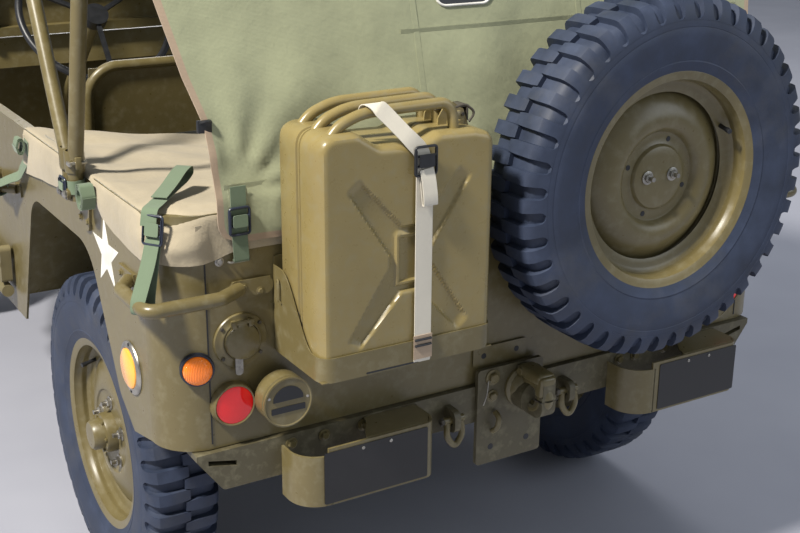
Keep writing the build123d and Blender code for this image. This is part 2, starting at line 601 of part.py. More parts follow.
# Pressed grille with upright slots between two lamp openings
GRILLE_T = 5.0
slot_low = 655.0
slot_high = 940.0
grille_corners = [(-GRILLE_HALF, GRILLE_BOTTOM, 60), (-GRILLE_HALF, GRILLE_TOP, 62),
                  (GRILLE_HALF, GRILLE_TOP, 62), (GRILLE_HALF, GRILLE_BOTTOM, 60)]
inside = [(math.copysign(abs(u) - GRILLE_T, u), w + math.copysign(GRILLE_T, 800 - w), r - GRILLE_T)
          for u, w, r in grille_corners]
grille = along(grille_corners, GRILLE_Y, GRILLE_Y + GRILLE_DEPTH)
grille -= along(inside, GRILLE_Y + GRILLE_T, GRILLE_Y + GRILLE_DEPTH + 1)
for index in range(SLOTS):
    u = (index - (SLOTS - 1) / 2) * SLOT_PITCH
    grille -= along([(u - SLOT_W / 2, slot_low, 15), (u + SLOT_W / 2, slot_low, 15),
                     (u + SLOT_W / 2, slot_high, 15), (u - SLOT_W / 2, slot_high, 15)],
                    GRILLE_Y - 1, GRILLE_Y + GRILLE_T + 1)
MARKER_Z = 690.0
MARKER_R = 27.0
for side in (1, -1):
    for level, radius in ((LAMP_Z, LAMP_R), (MARKER_Z, MARKER_R)):
        grille -= rod((side * LAMP_X, GRILLE_Y - 1, level), (side * LAMP_X, GRILLE_Y + 6, level),
                      radius + SEAT_GAP)
    grille += block((side * 330, side * 370), (GRILLE_Y + 8, GRILLE_Y + GRILLE_DEPTH),
                    (FRAME_TOP, GRILLE_BOTTOM + 2))
save("grille", [grille])

lamps = []
for side in (1, -1):
    x = side * LAMP_X
    lamp = rod((x, GRILLE_Y - 6, LAMP_Z), (x, GRILLE_Y + 30, LAMP_Z), LAMP_R)
    bowl = Pos(x, GRILLE_Y + 30, LAMP_Z) * Sphere(LAMP_R - 6)
    bowl &= block((x - 90, x + 90), (GRILLE_Y + 30, GRILLE_Y + 98), (LAMP_Z - 90, LAMP_Z + 90))
    lamps.append(lamp + bowl)
    lamps.append(rod((x, GRILLE_Y - 8, MARKER_Z), (x, GRILLE_Y + 40, MARKER_Z), MARKER_R))
save("front_lamps", lamps)

# Bonnet: crowned top and short sides in one shell, hinged at the cowl
hood_front = GRILLE_Y - 6
hood_rear = COWL_FRONT - 7
hood_low = FENDER_TOP + 8


def hood_section(y, half, top, grow):
    """Bonnet section with rounded shoulders, open downwards."""
    u = half + grow
    face = outline([(-u, hood_low - 40), (-u, top - 14 + grow, 58), (0, top + grow, 900),
                    (u, top - 14 + grow, 58), (u, hood_low - 40)])
    return Plane(origin=(0, y, 0), x_dir=(1, 0, 0), z_dir=(0, -1, 0)) * face


hood_out = loft([hood_section(hood_front, GRILLE_HALF + 10, GRILLE_TOP + 25, 0),
                 hood_section(hood_rear, HOOD_REAR_HALF, COWL_TOP - 6, 0)], ruled=True)
hood_hollow = loft([hood_section(hood_front - 1, GRILLE_HALF + 10, GRILLE_TOP + 25, -HOOD_SKIN),
                    hood_section(hood_rear + 1, HOOD_REAR_HALF, COWL_TOP - 6, -HOOD_SKIN)], ruled=True)
hood = hood_out - hood_hollow
hood &= block((-700, 700), (hood_front, hood_rear), (hood_low, COWL_TOP + 20))
HINGE_X = 300.0
HINGE_PIN_R = 4.0
HINGE_Z = COWL_TOP + 9
HINGE_Y = COWL_FRONT - 4
for side in (1, -1):
    x = side * HINGE_X
    barrel = rod((x - 22, HINGE_Y, HINGE_Z), (x + 22, HINGE_Y, HINGE_Z), 8)
    hood += barrel + block((x - 22, x + 22), (HINGE_Y - 60, HINGE_Y - 3), (COWL_TOP - 19, COWL_TOP - 9))
    hood += block((x - 22, x + 22), (HINGE_Y - 8, HINGE_Y - 3), (COWL_TOP - 19, HINGE_Z))
    for lug_side in (1, -1):
        near = x + lug_side * 23
        far = x + lug_side * 31
        cowl += across([(HINGE_Y - 8, HINGE_Z - 2), (HINGE_Y - 8, HINGE_Z + 8, 6), (HINGE_Y + 8, HINGE_Z + 8, 6),
                        (HINGE_Y + 20, COWL_TOP), (HINGE_Y + 5, COWL_TOP)], near, far)
    cowl += rod((x - 27, HINGE_Y, HINGE_Z), (x + 27, HINGE_Y, HINGE_Z), HINGE_PIN_R)
for side in (1, -1):
    x = side * HINGE_X
    hood -= rod((x - 23, HINGE_Y, HINGE_Z), (x + 23, HINGE_Y, HINGE_Z), HINGE_PIN_R + RUN_GAP)
save("bonnet", [hood])

# Windscreen frame with two panes, leaning back from brackets on the cowl
PANE_IN = 18.0
PANE_OUT = SCREEN_HALF - 34
PANE_LOW = 150.0
PANE_HIGH = SCREEN_H - 32
SCREEN_T = 24.0
lean = Pos(0, SCREEN_Y, SCREEN_Z) * Rot(-SCREEN_LEAN, 0, 0)
screen = along([(-SCREEN_HALF, 0, 12), (-SCREEN_HALF, SCREEN_H, 40), (SCREEN_HALF, SCREEN_H, 40),
                (SCREEN_HALF, 0, 12)], -SCREEN_T / 2, SCREEN_T / 2)
panes = []
for side in (1, -1):
    corners = [(side * PANE_IN, PANE_LOW, 22), (side * PANE_OUT, PANE_LOW, 22),
               (side * PANE_OUT, PANE_HIGH, 22), (side * PANE_IN, PANE_HIGH, 22)]
    screen -= along(corners, -SCREEN_T, SCREEN_T)
    fitted = [(u - math.copysign(SEAT_GAP, u - side * 250), w - math.copysign(SEAT_GAP, w - 300), r)
              for u, w, r in corners]
    panes.append(lean * along(fitted, -3, 3))
screen -= block((-SCREEN_HALF + 26, SCREEN_HALF - 26), (-SCREEN_T / 2 + 4, SCREEN_T), (26, PANE_LOW - 22))
save("windscreen_frame", [lean * screen])
save("windscreen_glass", panes)
for side in (1, -1):
    cowl += across([(SCREEN_Y - 34, COWL_TOP), (SCREEN_Y - 20, SCREEN_Z + 34, 10),
                    (SCREEN_Y + 22, SCREEN_Z + 34, 10), (SCREEN_Y + 20, SCREEN_Z - SEAT_GAP - 2),
                    (COWL_REAR, COWL_TOP)], side * (SCREEN_HALF + SEAT_GAP), side * (SCREEN_HALF + 14))
save("cowl", [cowl])

# Canvas top on two bows that pivot on brackets outside the body
PIVOT_R = 8.0
bow_plate_out = BODY_HALF + 6
TOP_HALF = BOW_X - 14
for name, foot_y, top in (("bow_front", BOW_Y - 16.5, FRONT_BOW), ("bow_rear", BOW_Y + 16.5, REAR_BOW)):
    path = [(BOW_X, foot_y, BOW_Z - 14), (BOW_X, foot_y, BOW_Z + 40), (TOP_HALF, top[0], top[1]),
            (-TOP_HALF, top[0], top[1]), (-BOW_X, foot_y, BOW_Z + 40), (-BOW_X, foot_y, BOW_Z - 14)]
    bow = bent_tube(path, BOW_R, 105)
    for x in (BOW_X, -BOW_X):
        bow -= rod((x - 20, foot_y, BOW_Z), (x + 20, foot_y, BOW_Z), PIVOT_R + RUN_GAP)
    save(name, [bow])
plate_low = BOW_Z - 82
bow_brackets = []
for side in (1, -1):
    plate = across([(BOW_Y - 44, BODY_TOP - 8, 12), (BOW_Y + 44, BODY_TOP - 8, 12),
                    (BOW_Y + 22, plate_low, 16), (BOW_Y - 22, plate_low, 16)],
                   side * BODY_HALF, side * bow_plate_out)
    head = side * (BOW_X + BOW_R + SEAT_GAP)
    for foot_y in (BOW_Y - 16.5, BOW_Y + 16.5):
        plate += rod((side * bow_plate_out, foot_y, BOW_Z), (head, foot_y, BOW_Z), PIVOT_R)
        plate += rod((head, foot_y, BOW_Z), (head + side * 6, foot_y, BOW_Z), 12)
    bow_brackets.append(plate)
save("bow_brackets", bow_brackets)

# Canvas: roof with short side valances, the rear curtain and the cover over the back
ROOF_CORNER = 60.0
VALANCE = 74.0
screen_top = (SCREEN_Y + SCREEN_H * math.sin(math.radians(SCREEN_LEAN)),
              SCREEN_Z + SCREEN_H * math.cos(math.radians(SCREEN_LEAN)))
cloth_gap = BOW_R + SEAT_GAP


def roof_section(y, half, under, grow, drop_by):
    """Section of the canvas roof over one bow, open downwards."""
    face = outline([(-half - grow, under - drop_by), (-half - grow, under + grow, ROOF_CORNER + grow),
                    (half + grow, under + grow, ROOF_CORNER + grow), (half + grow, under - drop_by)])
    return Plane(origin=(0, y, 0), x_dir=(1, 0, 0), z_dir=(0, -1, 0)) * face


roof_rows = ((screen_top[0] - 22, SCREEN_HALF + 46, screen_top[1] + 6),
             (FRONT_BOW[0], TOP_HALF + cloth_gap + 1, FRONT_BOW[1] + cloth_gap),
             (REAR_BOW[0] + cloth_gap + 2, TOP_HALF + cloth_gap + 1, REAR_BOW[1] + cloth_gap))
roof = None
for near, far in zip(roof_rows, roof_rows[1:]):
    shell = loft([roof_section(*near, CLOTH, VALANCE), roof_section(*far, CLOTH, VALANCE)], ruled=True)
    shell -= loft([roof_section(*near, 0, VALANCE + 2), roof_section(*far, 0, VALANCE + 2)], ruled=True)
    roof = shell if roof is None else roof + shell
save("canvas_roof", [roof])

curtain_top = (roof_rows[2][0] + SEAT_GAP, roof_rows[2][2] + CLOTH)
HANG_Y = PANEL_Y + 6
CURTAIN_LOW = 962.0
CURTAIN_HALF = corner_x - 20
curtain_end = TOP_HALF + cloth_gap
curtain_out = curtain_top[0] + CLOTH
curtain = across([curtain_top, (curtain_top[0], curtain_top[1] - 70), (HANG_Y, BODY_TOP + 22),
                  (HANG_Y, CURTAIN_LOW), (HANG_Y + CLOTH, CURTAIN_LOW), (HANG_Y + CLOTH, BODY_TOP + 24),
                  (curtain_out, curtain_top[1] - 69), (curtain_out, curtain_top[1])], -BOW_X, BOW_X)
curtain &= along([(-CURTAIN_HALF, CURTAIN_LOW), (-curtain_end, curtain_top[1] - 70),
                  (-curtain_end, curtain_top[1], ROOF_CORNER), (curtain_end, curtain_top[1], ROOF_CORNER),
                  (curtain_end, curtain_top[1] - 70), (CURTAIN_HALF, CURTAIN_LOW)], 1200, 1600)
save("rear_curtain", [curtain])

COVER_FRONT = 660.0
COVER_LOW = 938.0
cover_in = BODY_HALF + 1
cover_out = cover_in + CLOTH
cover_z = BODY_TOP + SEAT_GAP
cover = upward([(-cover_out, COVER_FRONT), (-cover_out, PANEL_Y + 4, CORNER_R + 4),
                (cover_out, PANEL_Y + 4, CORNER_R + 4), (cover_out, COVER_FRONT)], COVER_LOW, cover_z + CLOTH)
cover -= upward([(-cover_in, COVER_FRONT - 1), (-cover_in, PANEL_Y + 1, CORNER_R + 1),
                 (cover_in, PANEL_Y + 1, CORNER_R + 1), (cover_in, COVER_FRONT - 1)], COVER_LOW - 1, cover_z)
for side in (1, -1):
    cover -= block((side * 700, side * 800), (BOW_Y - 52, BOW_Y + 52), (COVER_LOW - 1, cover_z))
save("cargo_cover", [cover])

# Straps: corner pair, front pair and curtain pair, each a flat web with its buckle
WEB_W = 38.0
WEB_T = 2.4
HANDLE_Z = 876.0
HANDLE_R = 13.0
HANDLE_OUT = BODY_HALF + 50.5 - HANDLE_R
SIDE_HANDLE_Y = (400.0, 560.0)
SIDE_HANDLE_Z = 858.0
web_y = HANG_Y + CLOTH + SEAT_GAP
web_x = cover_out + SEAT_GAP
straps = []
for side in (1, -1):
    x = side * 590
    straps.append(across([(web_y, 925), (web_y, CURTAIN_LOW + 100), (web_y + WEB_T, CURTAIN_LOW + 100),
                          (web_y + WEB_T, 925)], x - WEB_W / 2, x + WEB_W / 2))
    y = COVER_FRONT + 6
    straps.append(block((side * web_x, side * (web_x + WEB_T)), (y, y + WEB_W), (SIDE_HANDLE_Z + 10, BODY_TOP)))
    on_cover = CORNER_R + 4 + SEAT_GAP
    on_handle = HANDLE_Z + HANDLE_R + SEAT_GAP
    corner_web = across([(on_cover, BODY_TOP - 6), (on_cover, BODY_TOP - 35), (146, on_handle),
                         (172, on_handle), (172, on_handle + WEB_T), (148, on_handle + WEB_T),
                         (on_cover + WEB_T, BODY_TOP - 33),
                         (on_cover + WEB_T, BODY_TOP - 6)], -WEB_W / 2, WEB_W / 2)
    straps.append(Pos(side * corner_x, corner_y, 0) * Rot(0, 0, -45 * side) * corner_web)

# Grab handles: two that wrap the rear corners and two on the sides
handles = []
inside_body = block((-BODY_HALF, BODY_HALF), (0, PANEL_Y), (0, 2000))
for side in (1, -1):
    out = side * HANDLE_OUT
    tube = bent_tube([(side * 592, PANEL_Y + 6, HANDLE_Z), (side * 640, PANEL_Y + 36, HANDLE_Z),
                      (out, PANEL_Y + 36, HANDLE_Z), (out, PANEL_Y - 96, HANDLE_Z),
                      (side * (BODY_HALF + 10), PANEL_Y - 136, HANDLE_Z)], HANDLE_R, 22)
    tube += block((side * 530, side * 604), (PANEL_Y, PANEL_Y + 5), (HANDLE_Z - 14, HANDLE_Z + 14))
    tube += block((side * BODY_HALF, side * (BODY_HALF + 5)), (PANEL_Y - 200, PANEL_Y - 120),
                  (HANDLE_Z - 14, HANDLE_Z + 14))
    handles.append((tube - inside_body) & block((-800, 800), (0, 1600), (0, 2000)))
    y0, y1 = SIDE_HANDLE_Y
    out = side * (HANDLE_OUT - 4)
    foot = side * (BODY_HALF + 4)
    tube = bent_tube([(foot, y0, SIDE_HANDLE_Z), (out, y0 + 26, SIDE_HANDLE_Z), (out, y1 - 26, SIDE_HANDLE_Z),
                      (foot, y1, SIDE_HANDLE_Z)], HANDLE_R - 2, 18)
    for y in (y0 - 10, y1 + 10):
        tube += block((side * BODY_HALF, foot), (y - 22, y + 22), (SIDE_HANDLE_Z - 13, SIDE_HANDLE_Z + 13))
    handles.append(tube - inside_body)
save("grab_handles", handles)

# Spare wheel bracket on the rear panel
mount_y = SPARE_Y + DISC_IN - SEAT_GAP
carrier = block((SPARE_X - 105, SPARE_X + 105), (PANEL_Y, PANEL_Y + 6), (790, 930))
for x in (SPARE_X - 80, SPARE_X + 80):
    carrier += across([(PANEL_Y + 5, 832), (PANEL_Y + 5, 928), (mount_y - 8, SPARE_Z + 46),
                       (mount_y, SPARE_Z + 46), (mount_y, SPARE_Z - 60), (mount_y - 20, SPARE_Z - 82)],
                      x - 4, x + 4)
carrier += along([(SPARE_X - 84, SPARE_Z - 60, 20), (SPARE_X + 84, SPARE_Z - 60, 20),
                  (SPARE_X + 84, SPARE_Z + 60, 40), (SPARE_X - 84, SPARE_Z + 60, 40)], mount_y - 7, mount_y)
carrier += rod((SPARE_X, mount_y - 2, SPARE_Z), (SPARE_X, mount_y + 14, SPARE_Z), HUB_R)
save("spare_bracket", [carrier])

# Fuel can with its three bar handle and cap, in a tray on the rear panel
can_x0 = CAN_X - CAN_W / 2
can_x1 = CAN_X + CAN_W / 2
can_y0 = CAN_BACK
can_y1 = CAN_BACK + CAN_T
can_top = CAN_Z + CAN_H - 42
can = along([(can_x0, CAN_Z, 38), (can_x1, CAN_Z, 38), (can_x1, can_top, 44), (can_x0 + 112, can_top, 14),
             (can_x0 + 82, can_top - 24, 14), (can_x0, can_top - 24, 44)], can_y0, can_y1)
front_edges = can.edges().group_by(Axis.Y)[0]
back_edges = can.edges().group_by(Axis.Y)[-1]
can = fillet(front_edges + back_edges, 13)
for index, y in enumerate((can_y0 + 30, (can_y0 + can_y1) / 2, can_y1 - 30)):
    can += bent_tube([(can_x1 - 60, y, can_top - 4), (can_x1 - 72, y, can_top + 33),
                      (can_x0 + 128, y, can_top + 33), (can_x0 + 116, y, can_top - 4)], 7, 16)
PRESS_HALF = 5.0
for face_y, out in ((can_y1, 1), (can_y0, -1)):
    for lean_way in (1, -1):
        groove = block((-150, 150), (-PRESS_HALF, PRESS_HALF), (-7, 7))
        can -= Pos(CAN_X, face_y + out * 1.5, CAN_Z + 205) * Rot(0, lean_way * 47, 0) * groove
cap_x = can_x0 + 46
cap = rod((cap_x, can_y0 + 82, can_top - 24 + SEAT_GAP), (cap_x, can_y0 + 82, can_top + 14), 27)
cap += block((cap_x + 20, cap_x + 50), (can_y0 + 66, can_y0 + 98), (can_top + 4, can_top + 14))
save("fuel_can", [can, cap])

TRAY_T = 3.0
TRAY_LIP = 42.0
tray_low = CAN_Z - TRAY_T - SEAT_GAP
tray_grow = 4.0
tray = along([(can_x0 - tray_grow, tray_low, 42), (can_x1 + tray_grow, tray_low, 42),
              (can_x1 + tray_grow, CAN_Z + TRAY_LIP), (can_x0 - tray_grow, CAN_Z + TRAY_LIP)],
             can_y0 - 4, can_y1 + 4)
tray_x0 = can_x0 - 3 * SEAT_GAP
tray_x1 = can_x1 + 3 * SEAT_GAP
tray -= along([(tray_x0, CAN_Z - SEAT_GAP, 39), (tray_x1, CAN_Z - SEAT_GAP, 39), (tray_x1, CAN_Z + 60),
               (tray_x0, CAN_Z + 60)], can_y0 - 1, can_y1 + 1)
tray += block((CAN_X - 120, CAN_X + 120), (can_y0 - 4, can_y0 - 1), (CAN_Z + 10, CAN_Z + 178))
for x in (CAN_X - 90, CAN_X + 90):
    tray += block((x - 16, x + 16), (PANEL_Y, can_y0 - 1), (CAN_Z + 20, CAN_Z + 176))
save("can_tray", [tray])
straps.append(block((CAN_X - 42, CAN_X - 4), (can_y1 + 4 + SEAT_GAP, can_y1 + 4 + SEAT_GAP + WEB_T),
                    (CAN_Z + 4, can_top - 30)))
save("web_straps", straps)

# Lamps and the trailer socket on the back of the body
LAMP_LEVEL = 664.0
tail_lamps = []
for side in (1, -1):
    x = side * 528
    lamp = rod((x, PANEL_Y, LAMP_LEVEL), (x, PANEL_Y + 20, LAMP_LEVEL), 20)
    lamp += rod((x, PANEL_Y + 18, LAMP_LEVEL), (x, PANEL_Y + 62, LAMP_LEVEL), 49)
    for level, tall in ((LAMP_LEVEL + 16, 12), (LAMP_LEVEL - 12, 8)):
        lamp -= block((x - 34, x + 34), (PANEL_Y + 58, PANEL_Y + 70), (level - tall / 2, level + tall / 2))
    tail_lamps.append(lamp)
for side in (1, -1):
    x = side * 612
    reflector = rod((x, PANEL_Y, 658), (x, PANEL_Y + 10, 658), 43)
    reflector += rod((x, PANEL_Y + 10, 658), (x, PANEL_Y + 14, 658), 36)
    tail_lamps.append(reflector)
INDICATOR_Z = 738.0
turn = math.radians(22)
for side in (1, -1):
    reach = (corner_x + CORNER_R * math.sin(turn), corner_y + CORNER_R * math.cos(turn))
    near = (side * (reach[0] + 0.4 * math.sin(turn)), reach[1] + 0.4 * math.cos(turn), INDICATOR_Z)
    far = (side * (reach[0] + 26 * math.sin(turn)), reach[1] + 26 * math.cos(turn), INDICATOR_Z)
    indicator = rod(near, far, 30)
    indicator -= Pos(side * corner_x, corner_y, INDICATOR_Z) * Cylinder(CORNER_R + SEAT_GAP, 80)
    tail_lamps.append(indicator)
    tail_lamps.append(rod((side * BODY_HALF, 1294, 696), (side * (BODY_HALF + 12), 1294, 696), 53))
save("rear_lamps", tail_lamps)
SOCKET_Z = 778.0
socket = rod((592, PANEL_Y, SOCKET_Z), (592, PANEL_Y + 8, SOCKET_Z), 52)
socket += rod((592, PANEL_Y, SOCKET_Z), (592, PANEL_Y + 26, SOCKET_Z), 34)
socket += along([(575, SOCKET_Z - 34), (588, SOCKET_Z - 60, 6), (606, SOCKET_Z - 58, 6),
                 (606, SOCKET_Z - 30)], PANEL_Y + 14, PANEL_Y + 22)
save("trailer_socket", [socket])

# Drive line: plain engine block, gearbox with transfer case, shafts, radiator, exhaust, fuel tank
ENGINE_REAR = -600.0
engine = block((-150, 150), (-1185, ENGINE_REAR), (512, 925))
engine += block((-90, 150), (-960, ENGINE_REAR), (400, 513))
engine += block((-inner, inner), (-1060, -1010), (512, 548))
gearbox = block((-88, 88), (ENGINE_REAR, -60), (GEARBOX_SEAT, 668))
gearbox += block((DIFF_X - 85, -60), (-60, 148), (336, 560))
gearbox += block((-60, 60), (-60, 20), (GEARBOX_SEAT, 600))
save("engine_and_gearbox", [engine + gearbox])
SHAFT_R = 25.0
shafts = [rod((DIFF_X, 128, 380.6), (DIFF_X, REAR_Y - NOSE_REACH + 20, TYRE_R - 0.6), SHAFT_R),
          rod((DIFF_X, -40, 380.4), (DIFF_X, FRONT_Y + NOSE_REACH - 20, TYRE_R - 0.4), SHAFT_R)]
shafts[0] &= block((DIFF_X - 60, DIFF_X + 60), (148, REAR_Y - NOSE_REACH), (300, 460))
shafts[1] &= block((DIFF_X - 60, DIFF_X + 60), (FRONT_Y + NOSE_REACH, -60), (300, 460))
save("propeller_shafts", shafts)
radiator = block((-222, 222), (-1345, -1288), (RADIATOR_BEAM_TOP, 965))
radiator -= block((-204, 204), (-1346, -1338), (570, 930))
save("radiator", [radiator])
exhaust = bent_tube([(-140, -760, 560), (-222, -690, 440), (-420, -330, 438), (-450, -40, 500)], 20, 50)
exhaust += rod((-450, -60, 503), (-450, 330, 503), 62)
exhaust += bent_tube([(-450, 320, 503), (-450, 395, 503), (-520, 440, 503), (-690, 440, 490)], 20, 30)
exhaust -= block((-150, 150), (-1185, ENGINE_REAR), (512, 925))
exhaust += block((-462, -438), (180, 204), (560, FRAME_TOP))
save("exhaust", [exhaust])
TANK_TOP = 772.0
tank = block((132, 500), (34, 282), (FLOOR_Z, TANK_TOP))
tank = fillet(tank.edges().filter_by(Axis.Z), 30)
tank += rod((440, 158, TANK_TOP), (440, 158, TANK_TOP + 12), 30)
save("fuel_tank", [tank])

# Front seats: tube frames with plain closed cushions, the passenger's frame tips forward
SEAT_X = 315.0
SEAT_HALF = 197.0
LEG_IN = 12.0
LEG_HALF = 8.0
SEAT_TUBE = 13.0
SEAT_LOW = 795.0
SEAT_FRONT = 6.0
SEAT_BACK = 440.0
CUSHION = 82.0
BACK_TOP = 1096.0
TIP_PIN_R = 6.0
PLATE_IN = 22.0
LEAN = 40.0
rail_end = SEAT_BACK - 60


def back_face(low, high, front, rear):
    """Corners (y, z) of a slab along the leaning back of a seat."""
    slope = LEAN / (BACK_TOP - SEAT_LOW)
    y_low = rail_end + (low - SEAT_LOW) * slope
    y_high = rail_end + (high - SEAT_LOW) * slope
    return [(y_low + front, low), (y_high + front, high), (y_high + rear, high), (y_low + rear, low)]


for name, side in (("driver", 1), ("passenger", -1)):
    mid = side * SEAT_X
    x0 = mid - SEAT_HALF
    x1 = mid + SEAT_HALF
    frame = bent_tube([(x0, SEAT_FRONT + 4, SEAT_LOW), (x0, rail_end, SEAT_LOW),
                       (x0, rail_end + LEAN, BACK_TOP), (x1, rail_end + LEAN, BACK_TOP),
                       (x1, rail_end, SEAT_LOW), (x1, SEAT_FRONT + 4, SEAT_LOW)], SEAT_TUBE, 75)
    boss = SEAT_TUBE + 2
    for x in (x0, x1):
        frame += rod((x - boss, SEAT_FRONT, SEAT_LOW), (x + boss, SEAT_FRONT, SEAT_LOW), boss)
    for y in (SEAT_FRONT + 44, SEAT_BACK - 110):
        frame += rod((x0, y, SEAT_LOW), (x1, y, SEAT_LOW), SEAT_TUBE - 3)
    frame += block((x0, x1), (SEAT_FRONT + 44, SEAT_BACK - 110), (SEAT_LOW - 2, SEAT_LOW + 2))
    frame += across(back_face(BACK_TOP - 190, BACK_TOP - 2, -2, 2), x0 + 2, x1 - 2)
    supports = []
    for end in (1, -1):
        x = mid + end * (SEAT_HALF - LEG_IN)
        leg_x = (x - LEG_HALF, x + LEG_HALF)
        foot = FLOOR_Z if side > 0 else FLOOR_Z + MOVE_GAP
        frame += block(leg_x, (SEAT_BACK - 150, SEAT_BACK - 130), (foot, SEAT_LOW))
        if side > 0:
            frame += block(leg_x, (SEAT_FRONT + 10, SEAT_FRONT + 30), (FLOOR_Z, SEAT_LOW))
            continue
        pin_end = mid + end * (SEAT_HALF + 8)
        plate_x = mid + end * (SEAT_HALF - PLATE_IN)
        plate = across([(SEAT_FRONT - 14, FLOOR_Z), (SEAT_FRONT - 14, SEAT_LOW + 14, 12),
                        (SEAT_FRONT + 14, SEAT_LOW + 14, 12), (SEAT_FRONT + 14, FLOOR_Z)],
                       plate_x, plate_x + end * 6)
        plate += rod((plate_x, SEAT_FRONT, SEAT_LOW), (pin_end, SEAT_FRONT, SEAT_LOW), TIP_PIN_R)
        frame -= rod((plate_x, SEAT_FRONT, SEAT_LOW), (pin_end + end, SEAT_FRONT, SEAT_LOW),
                     TIP_PIN_R + RUN_GAP)
        supports.append(plate)
    save(f"{name}_seat_frame", [frame])
    if supports:
        save(f"{name}_seat_pivots", supports)
    cushion = block((x0 + 22, x1 - 22), (SEAT_FRONT + 40, SEAT_BACK - 96),
                    (SEAT_LOW + SEAT_TUBE - 3 + SEAT_GAP, SEAT_LOW + SEAT_TUBE + CUSHION))
    cushion = fillet(cushion.edges().filter_by(Axis.Z), 40)
    pad = back_face(SEAT_LOW + SEAT_TUBE + CUSHION + 30, BACK_TOP - 36, -62, -2 - SEAT_GAP)
    backrest = across([corner + (18,) for corner in pad], x0 + 30, x1 - 30)
    save(f"{name}_cushions", [cushion, backrest])

# Steering column and wheel
column = rod(on_column(26), on_column(COLUMN_END), COLUMN_R)
column += rod(on_column(4), on_column(27), 12)
gear_y = on_column(COLUMN_END)[1]
column += block((WHEEL_C[0] - 60, RAIL_X + 20), (gear_y - 60, gear_y + 60), (FRAME_TOP, FRAME_TOP + 70))
column -= block((-800, 800), (-1600, 0), (0, FRAME_TOP))
save("steering_column", [column])
wheel_plane = Plane(origin=WHEEL_C, x_dir=(1, 0, 0), z_dir=column_run)
SPOKE_W = 13.0
SPOKE_T = 8.0
spoke_run = WHEEL_RING - 3 - 28
hand_wheel = Pos(0, 0, -6) * Cylinder(34, 32)
for angle in (90, 210, 330):
    hand_wheel += Rot(0, 0, angle) * Pos(28 + spoke_run / 2, 0, 0) * Box(spoke_run, SPOKE_W, SPOKE_T)
hand_wheel -= Pos(0, 0, -16) * Cylinder(12 + RUN_GAP, 24)
hand_wheel += Torus(WHEEL_RING, 10)
save("steering_wheel", [wheel_plane * hand_wheel])

# Pedals and levers standing on the floor and toe board
controls = []
under_toe = across([(floor_front, FLOOR_Z + 130), (floor_front + 136, FLOOR_Z), (floor_front, FLOOR_Z)],
                   100, 400)
for x in (200.0, 265.0):
    arm = rod((x, -349.7, FLOOR_Z + 33), (x, -300, FLOOR_Z + 132), 8)
    arm += Pos(x, -296, FLOOR_Z + 138) * Rot(-30, 0, 0) * Box(62, 10, 74)
    controls.append(arm - under_toe)
under_hump = block((-200, 200), (-500, 500), (HUMP_TOP - 60, HUMP_TOP))
lever = rod((0, -180, HUMP_TOP - 2), (0, -60, HUMP_TOP + 250), 8)
lever += Pos(0, -60, HUMP_TOP + 255) * Sphere(22)
controls.append(lever - under_hump)
for x in (-28.0, -62.0):
    lever = rod((x, 60, HUMP_TOP - 2), (x, 20, HUMP_TOP + 150), 7)
    lever += Pos(x, 20, HUMP_TOP + 154) * Sphere(15)
    controls.append(lever - under_hump)
save("pedals_and_levers", controls)

# Axe and shovel in clips on the left side below the door opening
TOOL_X = BODY_HALF + 6 + 15 + SEAT_GAP
axe = rod((TOOL_X, -300, 645), (TOOL_X, 452, 645), 15)
axe += across([(400, 610), (452, 596, 8), (462, 700, 12), (404, 672, 8)], TOOL_X - 13, TOOL_X + 13)
shovel = rod((TOOL_X, -60, 575), (TOOL_X, 450, 575), 15)
shovel += across([(-60, 560), (-90, 500, 40), (-300, 505, 60), (-320, 575, 20), (-300, 626, 40),
                  (-90, 616, 30), (-60, 590)], TOOL_X - 6, TOOL_X + 6)
shovel -= rod((TOOL_X - 30, -300, 645), (TOOL_X + 30, -60, 645), 26)
save("axe_and_shovel", [axe, shovel])
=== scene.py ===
import math

import bmesh
import bpy
from mathutils import Matrix, Vector
from mathutils import noise as fieldNoise
from mathutils.geometry import delaunay_2d_cdt


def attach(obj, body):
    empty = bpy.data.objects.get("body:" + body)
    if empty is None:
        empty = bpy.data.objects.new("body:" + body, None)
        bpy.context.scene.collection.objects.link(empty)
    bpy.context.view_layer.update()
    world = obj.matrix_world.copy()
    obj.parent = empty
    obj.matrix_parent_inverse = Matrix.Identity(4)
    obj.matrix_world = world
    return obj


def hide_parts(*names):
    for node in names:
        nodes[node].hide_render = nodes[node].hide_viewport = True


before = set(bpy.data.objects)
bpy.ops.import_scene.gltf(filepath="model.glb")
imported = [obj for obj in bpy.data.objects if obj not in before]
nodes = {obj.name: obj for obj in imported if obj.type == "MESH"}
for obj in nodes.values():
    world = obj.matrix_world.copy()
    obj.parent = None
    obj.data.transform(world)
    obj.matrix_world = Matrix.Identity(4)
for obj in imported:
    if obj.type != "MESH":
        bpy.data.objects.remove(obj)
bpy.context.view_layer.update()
print("frame loaded with", len(nodes), "nodes")


